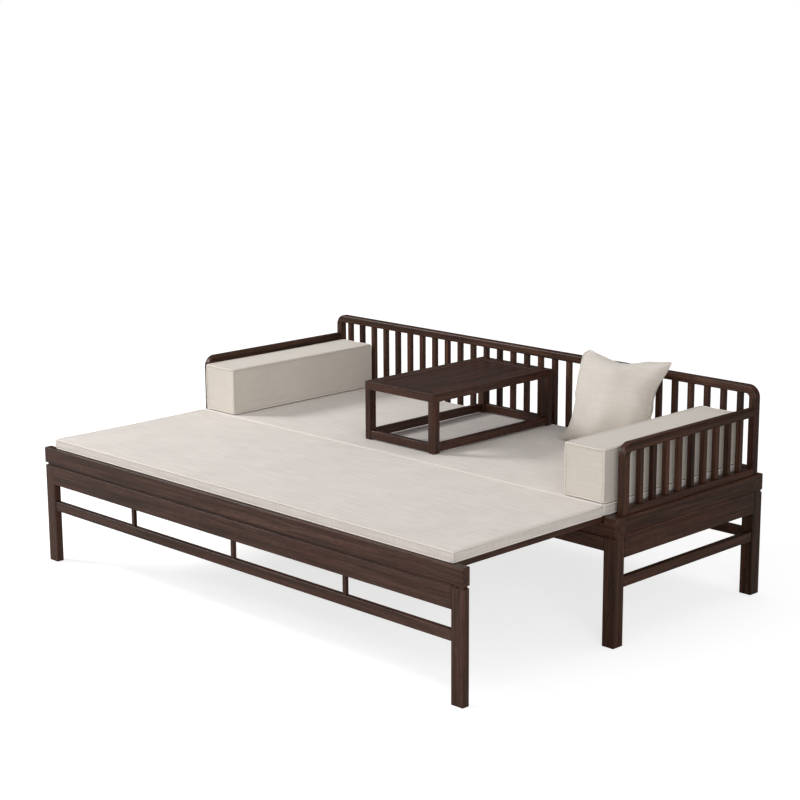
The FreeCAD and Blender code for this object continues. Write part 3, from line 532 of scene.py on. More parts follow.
MAIN_FRAME = WoodenAssembly(
    FRAME_WALNUT,
    along_x=("main_front_seat_rail", "main_back_seat_rail", "main_front_apron",
             "main_back_apron", "main_back_stretcher"),
    along_y=sided("main_%s_seat_rail", "main_%s_apron", "main_%s_stretcher"),
    along_z=sided("main_front_%s_leg", "main_back_%s_leg") + ("main_back_struts",))
RAILINGS = WoodenAssembly(
    FRAME_WALNUT,
    along_x=("back_top_rail", "back_bottom_rail"),
    along_y=sided("%s_arm_top_rail", "%s_arm_bottom_rail"),
    along_z=sided("back_%s_post", "%s_arm_front_post"))
BACK_SPINDLES = WoodenAssembly(FRAME_WALNUT, along_z=("back_spindles",), row=BACK_SPINDLE_ROW)
ARM_SPINDLES = WoodenAssembly(FRAME_WALNUT, along_z=sided("%s_arm_spindles"),
                              row=ARM_SPINDLE_ROW)
PULL_OUT_FRAME = WoodenAssembly(
    FRONT_WALNUT_PAINTED_LIGHT,
    along_x=("pull_out_front_rail", "pull_out_apron", "pull_out_stretcher"),
    along_z=sided("pull_out_%s_leg") + ("pull_out_struts",))
SLAT_SUPPORTS = WoodenAssembly(SLAT_WALNUT, along_x=("main_back_ledge", "pull_out_rear_bar"))
SLATS = WoodenAssembly(SLAT_WALNUT, along_y=("main_fixed_slats", "pull_out_slats"), row=SLAT_ROW)
KANG_TABLE = WoodenAssembly(
    TABLE_WALNUT,
    along_x=("table_front_rail", "table_back_rail", "table_front_stretcher",
             "table_back_stretcher"),
    along_y=sided("table_%s_rail", "table_%s_stretcher") + ("table_panel",),
    along_z=sided("table_front_%s_leg", "table_back_%s_leg"))


def new_piece(name: str, mesh: bpy.types.Mesh) -> bpy.types.Object:
    """Object at the origin, in the scene, for a mesh that already lies in place."""
    piece = bpy.data.objects.new(name, mesh)
    bpy.context.scene.collection.objects.link(piece)
    return piece


def points_of(mesh: bpy.types.Mesh) -> np.ndarray:
    """Vertex places of a mesh, one row each."""
    flat = np.empty(len(mesh.vertices) * 3)
    mesh.vertices.foreach_get("co", flat)
    return flat.reshape(-1, 3)


def set_points(mesh: bpy.types.Mesh, points: np.ndarray) -> None:
    """Move the vertices of a mesh."""
    mesh.vertices.foreach_set("co", points.ravel())
    mesh.update()


def baked(piece: bpy.types.Object) -> bpy.types.Mesh:
    """Plain mesh of a piece as its modifiers show it."""
    graph = bpy.context.evaluated_depsgraph_get()
    return bpy.data.meshes.new_from_object(piece.evaluated_get(graph))


def smooth(mesh: bpy.types.Mesh) -> None:
    """Shade every face of a mesh smoothly."""
    mesh.polygons.foreach_set("use_smooth", [True] * len(mesh.polygons))


def subdivided(piece: bpy.types.Object, levels: int) -> None:
    """Replace a piece's mesh by its own subdivision surface."""
    modifier = piece.modifiers.new("subdivide", "SUBSURF")
    modifier.levels = modifier.render_levels = levels
    mesh = baked(piece)
    piece.modifiers.clear()
    piece.data = mesh
    smooth(mesh)


@dataclass(frozen=True)
class Inflation:
    """Cloth simulation that puffs a sewn cover up with stuffing."""

    pressure: float = 4.0
    frames: int = 20
    cell_mass: float = 0.3
    stiffness: float = 12.0
    bending: float = 1.5
    quality: int = 5

    def run(self, piece: bpy.types.Object, held: Iterable[int]) -> np.ndarray:
        """Simulate and return how far each point moved.

        Args:
            piece: Cover to inflate; its own mesh stays as it is.
            held: Points that the seams hold in place.

        Returns:
            One row of movement for each point.
        """
        group = piece.vertex_groups.new(name="seams")
        group.add(list(held), 1.0, "REPLACE")
        modifier = piece.modifiers.new("stuffing", "CLOTH")
        settings = modifier.settings
        settings.quality = self.quality
        settings.mass = self.cell_mass
        settings.tension_stiffness = settings.compression_stiffness = self.stiffness
        settings.bending_stiffness = self.bending
        settings.use_pressure = True
        settings.uniform_pressure_force = self.pressure
        settings.vertex_group_mass = group.name
        settings.effector_weights.gravity = 0.0
        modifier.point_cache.frame_end = self.frames
        before = points_of(piece.data)
        scene = bpy.context.scene
        for frame in range(1, self.frames + 1):
            scene.frame_set(frame)
        moved = points_of(baked(piece)) - before
        scene.frame_set(1)
        piece.modifiers.clear()
        piece.vertex_groups.clear()
        return moved


def capped(moved: np.ndarray, reach: float) -> np.ndarray:
    """Scale movement down evenly so that its largest step has a given length.

    Args:
        moved: One row of movement for each point.
        reach: Largest step allowed.

    Returns:
        The scaled movement.
    """
    largest = np.linalg.norm(moved, axis=1).max()
    return moved * (reach / largest) if largest > 0 else moved


@dataclass(frozen=True)
class Creases:
    """Slow waves that handled cloth shows."""

    size: float
    height: float
    seed: float
    roughness: float = 0.8
    finer: float = 2.1
    layers: int = 3

    def heights(self, points: np.ndarray) -> np.ndarray:
        """Height of the waves at each point.

        Args:
            points: Places in metres.

        Returns:
            One height for each point.
        """
        shift = Vector((self.seed, -self.seed, self.seed / 2))
        return self.height * np.array([
            noise.fractal(Vector(point) / self.size + shift, self.roughness, self.finer,
                          self.layers) for point in points])


def eased(mesh: bpy.types.Mesh, points: np.ndarray, held: list[int], times: int) -> np.ndarray:
    """Even out sharp dents by moving points half way to the middle of their neighbours.

    Args:
        mesh: Mesh whose edges join the points.
        points: Places of the points.
        held: Points that stay where they are.
        times: How often this is done.

    Returns:
        The new places.
    """
    edges = np.empty(len(mesh.edges) * 2, int)
    mesh.edges.foreach_get("vertices", edges)
    first, second = edges.reshape(-1, 2).T
    count = np.bincount(edges, minlength=len(points))[:, None]
    for _ in range(times):
        middle = np.zeros_like(points)
        np.add.at(middle, first, points[second])
        np.add.at(middle, second, points[first])
        middle /= count
        middle[held] = points[held]
        points = (points + middle) / 2
    return points


def curve_through(knots: Iterable[tuple[float, float]], places: np.ndarray) -> np.ndarray:
    """Heights of a smooth curve that passes through some knots.

    Args:
        knots: Place and height of each knot, in order.
        places: Where the heights are wanted.

    Returns:
        One height for each place.
    """
    at, height = np.array(list(knots)).T
    slope = np.gradient(height, at)
    start = np.clip(np.searchsorted(at, places) - 1, 0, len(at) - 2)
    span = at[start + 1] - at[start]
    share = np.clip((places - at[start]) / span, 0, 1)
    rise = share * share * (3 - 2 * share)
    leave = share * (1 - share) ** 2 * span * slope[start]
    arrive = share * share * (share - 1) * span * slope[start + 1]
    return height[start] * (1 - rise) + height[start + 1] * rise + leave + arrive


@dataclass(frozen=True)
class SeamWork:
    """Piping sewn into a seam and the row of stitches beside it."""

    cloth: Linen
    radius: float = 1.5 * MILLIMETRE
    stitch_spacing: float = 9 * MILLIMETRE
    stitch_length: float = 5.5 * MILLIMETRE
    stitch_radius: float = 0.5 * MILLIMETRE
    step: float = 12 * MILLIMETRE
    stitch_sides: int = 6
    piping_sides: int = 8

    def tree(self, stitched: bool) -> bpy.types.NodeTree:
        """Node tree that makes piping, or a row of stitches, along a line.

        Args:
            stitched: Whether the line carries stitches instead of piping.

        Returns:
            The geometry node tree.
        """
        name = "stitch_row" if stitched else "piping"
        if name in bpy.data.node_groups:
            return bpy.data.node_groups[name]
        tree = bpy.data.node_groups.new(name, "GeometryNodeTree")
        tree.interface.new_socket("Geometry", in_out="INPUT", socket_type="NodeSocketGeometry")
        for socket in ("Radius", "Spacing", "Length"):
            tree.interface.new_socket(socket, in_out="INPUT", socket_type="NodeSocketFloat")
        tree.interface.new_socket("Material", in_out="INPUT", socket_type="NodeSocketMaterial")
        tree.interface.new_socket("Geometry", in_out="OUTPUT", socket_type="NodeSocketGeometry")
        given = add(tree, "NodeGroupInput").outputs
        line = add(tree, "GeometryNodeMeshToCurve", {"Mesh": given["Geometry"]}).outputs[0]
        if stitched:
            points = add(tree, "GeometryNodeCurveToPoints",
                         {"Curve": line, "Length": given["Spacing"]}, mode="LENGTH")
            thread = add(tree, "GeometryNodeMeshCylinder",
                         {"Vertices": self.stitch_sides, "Radius": given["Radius"],
                          "Depth": given["Length"]})
            made = add(tree, "GeometryNodeInstanceOnPoints",
                       {"Points": points.outputs["Points"], "Instance": thread.outputs["Mesh"],
                        "Rotation": points.outputs["Rotation"]}).outputs[0]
        else:
            even = add(tree, "GeometryNodeResampleCurve",
                       {"Curve": line, "Length": given["Spacing"]}, mode="LENGTH").outputs[0]
            ring = add(tree, "GeometryNodeCurvePrimitiveCircle",
                       {"Resolution": self.piping_sides,
                        "Radius": given["Radius"]}).outputs[0]
            made = add(tree, "GeometryNodeCurveToMesh",
                       {"Curve": even, "Profile Curve": ring, "Fill Caps": True}).outputs[0]
        made = add(tree, "GeometryNodeRealizeInstances", {0: made}).outputs[0]
        made = add(tree, "GeometryNodeSetMaterial",
                   {"Geometry": made, "Material": given["Material"]}).outputs[0]
        add(tree, "NodeGroupOutput", {0: made})
        return tree

    def along(self, name: str, lines: list[tuple[np.ndarray, bool]],
              stitched: bool) -> bpy.types.Object:
        """Make piping or stitches along some lines, as one plain mesh.

        Args:
            name: Name of the piece.
            lines: For each line, its points and whether it closes on itself.
            stitched: Whether the lines carry stitches instead of piping.

        Returns:
            The piece, at the origin.
        """
        points, edges = [], []
        for line, closed in lines:
            first = len(points)
            points += [tuple(point) for point in line]
            edges += [(first + place, first + place + 1) for place in range(len(line) - 1)]
            if closed:
                edges.append((first + len(line) - 1, first))
        mesh = bpy.data.meshes.new(name)
        mesh.from_pydata(points, edges, [])
        piece = new_piece(name, mesh)
        modifier = piece.modifiers.new("sewing", "NODES")
        modifier.node_group = self.tree(stitched)
        values = {
            "Radius": self.stitch_radius if stitched else self.radius,
            "Spacing": self.stitch_spacing if stitched else self.step,
            "Length": self.stitch_length,
            "Material": self.cloth.material(),
        }
        for item in modifier.node_group.interface.items_tree:
            if item.in_out == "INPUT" and item.name in values:
                modifier[item.identifier] = values[item.name]
        made = baked(piece)
        piece.modifiers.clear()
        piece.data = made
        smooth(made)
        return piece


@dataclass(frozen=True)
class BoxCushion:
    """Cushion of six linen panels, which stands for a soft piece of the model."""

    name: str
    node: str
    body: str
    slot: str
    cloth: Linen
    piping_cloth: Linen
    cell: float
    puff: float
    edge: float = 6 * MILLIMETRE
    seam_reach: float = 2.5 * MILLIMETRE
    draw_in: float = 3 * MILLIMETRE
    inset: float = 1.0 * MILLIMETRE
    piping: float = 2.6 * MILLIMETRE
    upright_points: int = 7
    stuffing: Inflation = Inflation()
    crease_size: float = 140 * MILLIMETRE
    crease_height: float = 0.8 * MILLIMETRE
    creased_above: float = 0.5
    # How dark the painted seam shade is on the first mesh lines beside the piping.
    seam_shades: tuple[float, ...] = (0.8, 0.4, 0.1)
    fill: float = 0.8
    seed: float = 1.0

    def places(self, low: float, high: float) -> list[float]:
        """Place the mesh lines along one axis, closer together at both edges.

        Args:
            low: Start of the cushion along this axis.
            high: End of the cushion along this axis.

        Returns:
            The places in rising order.
        """
        steps = [0.0, self.edge / 2, self.edge, self.edge + self.seam_reach]
        inner = high - low - 2 * steps[-1]
        count = max(1, round(inner / self.cell))
        middle = [low + steps[-1] + inner * step / count for step in range(1, count)]
        return ([low + step for step in steps] + middle
                + [high - step for step in reversed(steps)])

    def seam_shade(self, cell: tuple[int, int, int], last: list[int]) -> float:
        """How much of a mesh point lies in the shade of the seam beside the piping.

        Args:
            cell: Number of the point's mesh line along each axis.
            last: Number of the last mesh line along each axis.

        Returns:
            Shade from zero to one.
        """
        depth = sorted(min(step, end - step) for step, end in zip(cell, last))
        return self.seam_shades[depth[1]] if depth[1] < len(self.seam_shades) else 0.0

    def rounded(self, point: np.ndarray, low: np.ndarray, high: np.ndarray) -> np.ndarray:
        """Bring a point of the sharp box onto the box with rounded edges and drawn-in sides.

        Args:
            point: Place on the sharp box.
            low: Lowest corner of the box.
            high: Highest corner of the box.

        Returns:
            Place on the cushion.
        """
        core = np.clip(point, low + self.edge, high - self.edge)
        away = point - core
        length = np.linalg.norm(away)
        if length > 0:
            away = away * (self.edge / length)
        middle = (low + high) / 2
        half = (high - low) / 2
        share = (core - middle) / half
        made = core + away
        made[0] -= share[0] * self.draw_in * (1 - share[1] ** 2)
        made[1] -= share[1] * self.draw_in * (1 - share[0] ** 2)
        return made

    def shell(self, low: np.ndarray, high: np.ndarray) -> bpy.types.Mesh:
        """Make the mesh of the six panels, with flat cloth coordinates.

        Args:
            low: Lowest corner of the cushion.
            high: Highest corner of the cushion.

        Returns:
            The mesh.
        """
        lines = [self.places(low[axis], high[axis]) for axis in range(3)]
        last = [len(line) - 1 for line in lines]
        index: dict[tuple[int, int, int], int] = {}
        points: list[np.ndarray] = []
        shades: list[float] = []

        def corner(cell: tuple[int, int, int]) -> int:
            """Number of the point where three mesh lines cross."""
            if cell not in index:
                index[cell] = len(points)
                sharp = np.array([lines[axis][cell[axis]] for axis in range(3)])
                points.append(self.rounded(sharp, low, high))
                shades.append(self.seam_shade(cell, last))
            return index[cell]

        faces: list[list[int]] = []
        panels: list[int] = []
        flat: list[tuple[float, float]] = []
        for panel in Panel:
            axis, at_end = panel.value // 2, panel.value % 2
            first, second = [other for other in range(3) if other != axis]
            turned = (axis == 1) != bool(at_end)
            for step_a in range(last[first]):
                for step_b in range(last[second]):
                    cells = []
                    for add_a, add_b in ((0, 0), (1, 0), (1, 1), (0, 1)):
                        cell = [0, 0, 0]
                        cell[axis] = last[axis] * at_end
                        cell[first] = step_a + add_a
                        cell[second] = step_b + add_b
                        cells.append(tuple(cell))
                    if turned:
                        cells.reverse()
                    faces.append([corner(cell) for cell in cells])
                    panels.append(panel.value)
                    flat += [(lines[first][cell[first]], lines[second][cell[second]])
                             for cell in cells]
        mesh = bpy.data.meshes.new(self.name)
        mesh.from_pydata([tuple(point) for point in points], [], faces)
        layer = mesh.uv_layers.new(name="cloth")
        layer.data.foreach_set("uv", np.array(flat).ravel())
        mesh.attributes.new("panel", "INT", "FACE").data.foreach_set("value", panels)
        # The seam value holds the painted shade beside the piping, which the cloth's material
        # reads.
        mesh.attributes.new("seam", "FLOAT", "POINT").data.foreach_set("value", shades)
        return mesh

    def seam_points(self, mesh: bpy.types.Mesh) -> list[int]:
        """Find the points where two panels meet, which the sewing holds.

        Args:
            mesh: Mesh of the panels.

        Returns:
            Numbers of the points.
        """
        panels = np.empty(len(mesh.polygons), int)
        mesh.attributes["panel"].data.foreach_get("value", panels)
        seen: dict[int, set[int]] = {}
        for face, panel in zip(mesh.polygons, panels):
            for point in face.vertices:
                seen.setdefault(point, set()).add(int(panel))
        return [point for point, found in seen.items() if len(found) > 1]

    def rings(self, low: np.ndarray, high: np.ndarray, inset: float) -> list[np.ndarray]:
        """Draw closed lines round the bottom and the top panel.

        Args:
            low: Lowest corner of the cushion.
            high: Highest corner of the cushion.
            inset: Distance of the lines from the panels' edges.

        Returns:
            Points of the lower and of the upper line.
        """
        loops = []
        for level in (low[2], high[2]):
            corners = [(low[0] + inset, low[1] + inset), (high[0] - inset, low[1] + inset),
                       (high[0] - inset, high[1] - inset), (low[0] + inset, high[1] - inset)]
            loop = []
            for start, end in zip(corners, corners[1:] + corners[:1]):
                count = max(2, round(math.dist(start, end) / self.cell))
                for step in range(count):
                    share = step / count
                    loop.append((start[0] + (end[0] - start[0]) * share,
                                 start[1] + (end[1] - start[1]) * share, level))
            loops.append(np.array(loop))
        return loops

    def uprights(self, low: np.ndarray, high: np.ndarray) -> list[np.ndarray]:
        """Draw a line up each of the four corners.

        Args:
            low: Lowest corner of the cushion.
            high: Highest corner of the cushion.

        Returns:
            Points of each line.
        """
        made = []
        for x in (low[0], high[0]):
            for y in (low[1], high[1]):
                levels = np.linspace(low[2], high[2], self.upright_points)
                made.append(np.array([(x, y, level) for level in levels]))
        return made

    def build(self) -> list[bpy.types.Object]:
        """Make, simulate, sew and mount the cushion.

        Returns:
            The cushion and its sewing.
        """
        low, high = (np.array(corner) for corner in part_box(self.node))
        low = low + self.inset
        high = high - self.inset
        low[2] -= self.inset
        mesh = self.shell(low, high)
        piece = new_piece(self.name, mesh)
        points = points_of(mesh)
        moved = self.stuffing.run(piece, self.seam_points(mesh))
        points = points + capped(moved, self.puff)
        waves = Creases(self.crease_size, self.crease_height, self.seed).heights(points)
        inside = (points - low) / (high - low)
        calm = np.clip(np.minimum(inside, 1 - inside).max(axis=1), 0, 1)
        points[:, 2] += waves * calm * (inside[:, 2] > self.creased_above)
        points[:, 2] = np.maximum(points[:, 2], low[2])
        set_points(mesh, points)
        subdivided(piece, 1)
        piece.data.materials.append(self.cloth.material())
        tree = BVHTree.FromObject(piece, bpy.context.evaluated_depsgraph_get())

        def on_cloth(line: np.ndarray) -> np.ndarray:
            """Bring a line onto the cover, with its piping above what the cushion lies on."""
            found = np.array([tree.find_nearest(Vector(point))[0] for point in line])
            found[:, 2] = np.maximum(found[:, 2], low[2] + self.piping)
            return found

        work = SeamWork(self.piping_cloth, radius=self.piping)
        seams = [(on_cloth(ring), True) for ring in self.rings(low, high, 0.0)]
        seams += [(on_cloth(line), False) for line in self.uprights(low, high)]
        top_row = self.rings(low, high, self.edge + self.seam_reach)[-1]
        made = [piece, work.along(self.name + "_piping", seams, stitched=False),
                work.along(self.name + "_stitches", [(on_cloth(top_row), True)], stitched=True)]
        for part in made:
            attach(part, self.body)
        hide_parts(self.node)
        return made


@dataclass(frozen=True)
class ThrowPillow:
    """Square knife-edged pillow that leans on the back railing."""

    name: str = "pillow_cover"
    node: str = "throw_pillow"
    body: str = "throw_pillow"
    slot: str = "pillow_linen"
    cloth: Linen = PILLOW_LINEN
    width: float = 350 * MILLIMETRE
    height: float = 327 * MILLIMETRE
    thickness: float = 128 * MILLIMETRE
    cells: int = 44
    start_thickness: float = 24 * MILLIMETRE
    start_squareness: int = 4
    lean_degrees: float = 22.0
    side_lean: float = 0.09
    stuffing: Inflation = Inflation(pressure=9.0, frames=36, bending=0.3)
    creases: Creases = Creases(size=90 * MILLIMETRE, height=1.0 * MILLIMETRE, seed=5.0)
    ease_times: int = 6
    piping: float = 1.8 * MILLIMETRE
    fill: float = 0.7
    # How far each side is drawn in, in millimetres, from its lower or left end at minus one to
    # its other end at one.
    left_in: tuple[tuple[float, float], ...] = (
        (-1.0, 0.0), (-0.75, 21.0), (-0.4, 30.0), (0.0, 20.0), (0.4, -5.0), (0.75, -15.0),
        (0.92, -13.0), (1.0, 7.0))
    right_in: tuple[tuple[float, float], ...] = (
        (-1.0, 13.0), (-0.3, 12.0), (0.3, 29.0), (0.8, 3.0), (1.0, -4.0))
    bottom_in: tuple[tuple[float, float], ...] = ((-1.0, 0.0), (0.0, 10.0), (1.0, 0.0))
    top_in: tuple[tuple[float, float], ...] = (
        (-1.0, 6.0), (-0.9, 12.0), (-0.66, 21.0), (-0.2, 35.0), (0.1, 33.0), (0.49, 15.0),
        (0.79, 9.0), (1.0, 2.0))
    # Fold that the filling makes down the front, as shares of the half width and of the bulge.
    fold_place: float = 0.1
    fold_width: float = 0.34
    fold_rise: float = 0.34

    def cover(self) -> tuple[bpy.types.Mesh, list[int]]:
        """Two square panels sewn together round their rim.

        Returns:
            The mesh, lying in the plane of X and Z, and its rim in order.
        """
        points: list[tuple[float, float, float]] = []
        index: dict[tuple[int, int, int], int] = {}
        count = self.cells

        def corner(side: int, across: int, up: int) -> int:
            """Number of a panel's point, which both panels share on the rim."""
            on_rim = across in (0, count) or up in (0, count)
            key = (0 if on_rim else side, across, up)
            if key not in index:
                index[key] = len(points)
                u, v = 2 * across / count - 1, 2 * up / count - 1
                bulge = (1 - u ** self.start_squareness) * (1 - v ** self.start_squareness)
                points.append((u * self.width / 2, side * bulge * self.start_thickness / 2,
                               v * self.height / 2))
            return index[key]

        faces, flat = [], []
        for side in (-1, 1):
            for across in range(count):
                for up in range(count):
                    cells = [(across, up), (across + 1, up), (across + 1, up + 1),
                             (across, up + 1)]
                    if side > 0:
                        cells.reverse()
                    faces.append([corner(side, *cell) for cell in cells])
                    flat += [(a / count * self.width, b / count * self.height)
                             for a, b in cells]
        mesh = bpy.data.meshes.new(self.name)
        mesh.from_pydata(points, [], faces)
        layer = mesh.uv_layers.new(name="cloth")
        layer.data.foreach_set("uv", np.array(flat).ravel())
        rim = [(a, 0) for a in range(count)] + [(count, b) for b in range(count)]
        rim += [(a, count) for a in range(count, 0, -1)] + [(0, b) for b in range(count, 0, -1)]
        return mesh, [corner(-1, a, b) for a, b in rim]

    def fitted(self, points: np.ndarray, flat: np.ndarray) -> np.ndarray:
        """Scale the stuffed cover to its real size and draw its four sides in.

        Args:
            points: Places of the stuffed cover's points.
            flat: Places of the same points before it was stuffed.

        Returns:
            The new places.
        """
        size = points.max(axis=0) - points.min(axis=0)
        wanted = np.array([self.width, self.thickness, self.height])
        middle = (points.max(axis=0) + points.min(axis=0)) / 2
        points = (points - middle) * (wanted / size)
        shares = flat / (wanted / 2)
        before = points.copy()
        for axis, along, end, profile in (
                (0, 2, -1, self.left_in), (0, 2, 1, self.right_in),
                (2, 0, -1, self.bottom_in), (2, 0, 1, self.top_in)):
            rim = np.flatnonzero(np.isclose(shares[:, axis], end))
            rim = rim[np.argsort(shares[rim, along])]
            depths = curve_through(profile, shares[rim, along])
            goal = end * (wanted[axis] / 2 - depths * MILLIMETRE)
            missing = np.interp(shares[:, along], shares[rim, along], goal - before[rim, axis])
            points[:, axis] += missing * ((1 + end * shares[:, axis]) / 2) ** 2
        fold = np.exp(-((shares[:, 0] - self.fold_place) / self.fold_width) ** 2)
        points[:, 1] *= 1 + self.fold_rise * fold
        return points

    def placed(self, points: np.ndarray) -> np.ndarray:
        """Lean the pillow back, let it sag to one side and set it on the mattress.

        Args:
            points: Places of the upright pillow's points.

        Returns:
            The new places.
        """
        turn = np.array(Matrix.Rotation(-math.radians(self.lean_degrees), 3, "X"))
        points = points @ turn.T
        points[:, 0] += self.side_lean * points[:, 2]
        low, high = (np.array(corner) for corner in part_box(self.node))
        points[:, 0] += (low[0] + high[0]) / 2
        points[:, 1] += high[1] - points[:, 1].max()
        points[:, 2] += low[2] - points[:, 2].min()
        points[:, 2] = np.maximum(points[:, 2], low[2])
        return points

    def build(self) -> list[bpy.types.Object]:
        """Make, simulate, sew and mount the pillow.

        Returns:
            The pillow and its piping.
        """
        mesh, rim = self.cover()
        piece = new_piece(self.name, mesh)
        points = flat = points_of(mesh)
        points = points + self.stuffing.run(piece, [])
        points = self.fitted(points, flat)
        points[:, 1] += self.creases.heights(points)
        points = eased(mesh, self.placed(points), rim, self.ease_times)
        set_points(mesh, points)
        edge = points[rim]
        subdivided(piece, 1)
        piece.data.materials.append(self.cloth.material())
        work = SeamWork(self.cloth, radius=self.piping)
        piping = work.along(self.name + "_piping", [(edge, True)], stitched=False)
        for made in (piece, piping):
            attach(made, self.body)
        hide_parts(self.node)
        return [piece, piping]


def soft_goods() -> list[BoxCushion | ThrowPillow]:
    """Every soft piece of the bed."""
    pieces: list[BoxCushion | ThrowPillow] = []
    for place, body, seed in (("rear", "main_frame", 2.0), ("front", "front_mattress", 7.0)):
        pieces.append(BoxCushion(
            name=place + "_mattress_cover", node=place + "_mattress", body=body,
            slot="mattress_linen", cloth=MATTRESS_LINEN, piping_cloth=MATTRESS_PIPING_PAINTED_HIGHLIGHT,
            cell=18 * MILLIMETRE, puff=1.5 * MILLIMETRE, seed=seed))
    for side, seed in (("left", 11.0), ("right", 17.0)):
        pieces.append(BoxCushion(
            name=side + "_bolster_cover", node=side + "_bolster", body=side + "_bolster",
            slot="bolster_linen", cloth=BOLSTER_LINEN, piping_cloth=BOLSTER_PIPING_PAINTED_HIGHLIGHT,
            cell=10 * MILLIMETRE, puff=4 * MILLIMETRE, edge=9 * MILLIMETRE,
            piping=3.4 * MILLIMETRE, seed=seed))
    pieces.append(ThrowPillow())
    return pieces


@dataclass(frozen=True)
class PhotographCamera:
    """Camera that sees the bed as the photograph does."""

    picture_px: float = 800.0
    focal_px: float = 1856.4
    sensor_mm: float = 36.0
    yaw_degrees: float = 45.195
    pitch_degrees: float = 12.478
    roll_degrees: float = -0.297
    place: tuple[float, float, float] = (4.3339, -4.2666, 1.9600)

    def build(self) -> bpy.types.Object:
        """Make the camera and choose it for the scene."""
        data = bpy.data.cameras.new("camera")
        data.sensor_width = self.sensor_mm
        data.lens = self.focal_px * self.sensor_mm / self.picture_px
        camera = bpy.data.objects.new("camera", data)
        bpy.context.scene.collection.objects.link(camera)
        yaw, pitch = math.radians(self.yaw_degrees), math.radians(self.pitch_degrees)
        ahead = Vector((-math.sin(yaw) * math.cos(pitch), math.cos(yaw) * math.cos(pitch),
                        -math.sin(pitch)))
        level = Vector((math.cos(yaw), math.sin(yaw), 0.0))
        upward = level.cross(ahead)
        turn = Matrix((level, upward, -ahead)).transposed().to_4x4()
        roll = Matrix.Rotation(math.radians(self.roll_degrees), 4, "Z")
        camera.matrix_world = Matrix.Translation(self.place) @ turn @ roll
        bpy.context.scene.camera = camera
        return camera


@dataclass(frozen=True)
class SoftBox:
    """Large square lamp with even light."""

    name: str
    place: tuple[float, float, float]
    aim: tuple[float, float, float]
    size: float
    watts: float

    def build(self) -> bpy.types.Object:
        """Hang the lamp and turn it to what it lights."""
        data = bpy.data.lights.new(self.name, "AREA")
        data.shape = "SQUARE"
        data.size = self.size
        data.energy = self.watts
        lamp = bpy.data.objects.new(self.name, data)
        bpy.context.scene.collection.objects.link(lamp)
        away = Vector(self.place) - Vector(self.aim)
        lamp.matrix_world = (Matrix.Translation(self.place)
                             @ away.to_track_quat("Z", "Y").to_matrix().to_4x4())
        return lamp


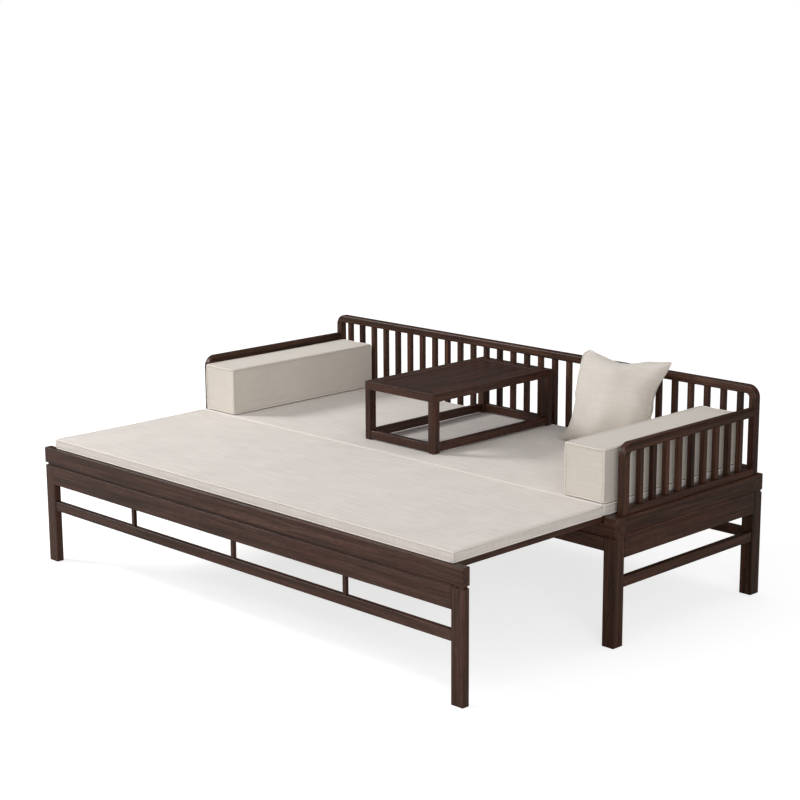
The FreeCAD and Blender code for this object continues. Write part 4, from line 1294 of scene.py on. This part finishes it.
@dataclass(frozen=True)
class Studio:
    """White studio: pale floor, soft lamps and a white surround."""

    floor_size: float = 60.0
    floor_colour: str = "#c4c1bd"
    seen_floor: tuple[float, float, float, float] = (0.5, 0.5, 0.5, 1.0)
    surround_light: float = 0.36
    reflected_light: float = 0.1
    floor_glow: float = 0.72
    far_glow: float = 1.0
    glow_reach: tuple[float, float] = (2.6, 7.0)
    lamps: tuple[SoftBox, ...] = (
        SoftBox("left_lamp", (-4.0, -2.4, 3.3), (0.0, -0.1, 0.4), 1.3, 190.0),
        SoftBox("front_lamp", (-1.2, -5.2, 2.6), (0.0, -0.4, 0.4), 2.4, 50.0),
        SoftBox("right_lamp", (4.6, -2.9, 1.9), (0.0, 0.0, 0.4), 2.2, 105.0),
        SoftBox("top_lamp", (0.3, 1.0, 4.2), (0.0, 0.3, 0.4), 3.0, 28.0),
    )

    def floor(self) -> bpy.types.Object:
        """Flat floor that looks white and still takes the bed's shadow."""
        half = self.floor_size / 2
        mesh = bpy.data.meshes.new("studio_floor")
        mesh.from_pydata([(-half, -half, 0), (half, -half, 0), (half, half, 0), (-half, half, 0)],
                         [], [(0, 1, 2, 3)])
        floor = new_piece("studio_floor", mesh)
        made = bpy.data.materials.new("matt_white_floor")
        made.use_nodes = True
        tree = made.node_tree
        tree.nodes.remove(tree.nodes["Principled BSDF"])
        matt = add(tree, "ShaderNodeBsdfDiffuse", {"Color": linear(self.floor_colour)})
        half_matt = add(tree, "ShaderNodeBsdfDiffuse", {"Color": self.seen_floor})
        place = add(tree, "ShaderNodeTexCoord").outputs["Object"]
        away = add(tree, "ShaderNodeVectorMath", {0: place}, operation="LENGTH")
        near, far = self.glow_reach
        strength = add(tree, "ShaderNodeMapRange",
                       {"Value": away.outputs["Value"], "From Min": near, "From Max": far,
                        "To Min": self.floor_glow, "To Max": self.far_glow})
        glow = add(tree, "ShaderNodeEmission",
                   {"Color": WHITE, "Strength": strength.outputs[0]})
        seen = add(tree, "ShaderNodeAddShader", {0: half_matt.outputs[0], 1: glow.outputs[0]})
        path = add(tree, "ShaderNodeLightPath")
        surface = add(tree, "ShaderNodeMixShader",
                      {0: path.outputs["Is Camera Ray"], 1: matt.outputs[0], 2: seen.outputs[0]})
        tree.links.new(surface.outputs[0], tree.nodes["Material Output"].inputs["Surface"])
        mesh.materials.append(made)
        return floor

    def surround(self) -> None:
        """White world, dimmer as a light than it looks, so that the dark lacquer stays dark."""
        world = bpy.data.worlds.new("white_surround")
        bpy.context.scene.world = world
        world.use_nodes = True
        tree = world.node_tree
        path = add(tree, "ShaderNodeLightPath").outputs
        strength = add(tree, "ShaderNodeMapRange",
                       {"Value": path["Is Glossy Ray"],
                        "To Min": self.surround_light, "To Max": self.reflected_light})
        strength = add(tree, "ShaderNodeMix", {0: path["Is Camera Ray"],
                                               2: strength.outputs[0], 3: 1.0},
                       data_type="FLOAT")
        background = tree.nodes["Background"]
        background.inputs["Color"].default_value = WHITE
        tree.links.new(strength.outputs[0], background.inputs["Strength"])

    def build(self) -> None:
        """Lay the floor, hang the lamps and light the surround."""
        self.floor()
        self.surround()
        for lamp in self.lamps:
            lamp.build()
        bpy.context.scene.view_settings.view_transform = "Standard"


def main() -> None:
    """Build the whole picture in order."""
    logging.basicConfig(level=logging.INFO, format="%(message)s")
    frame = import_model()
    PhotographCamera().build()
    Studio().build()
    for assembly in (MAIN_FRAME, RAILINGS, BACK_SPINDLES, ARM_SPINDLES, PULL_OUT_FRAME,
                     SLAT_SUPPORTS, SLATS, KANG_TABLE):
        LOG.info("walnut on %s", ", ".join(assembly.dress(frame["nodes"])))
    for soft in soft_goods():
        for piece in soft.build():
            LOG.info("made %s, %d faces", piece.name, len(piece.data.polygons))


if __name__ == "__main__":
    main()
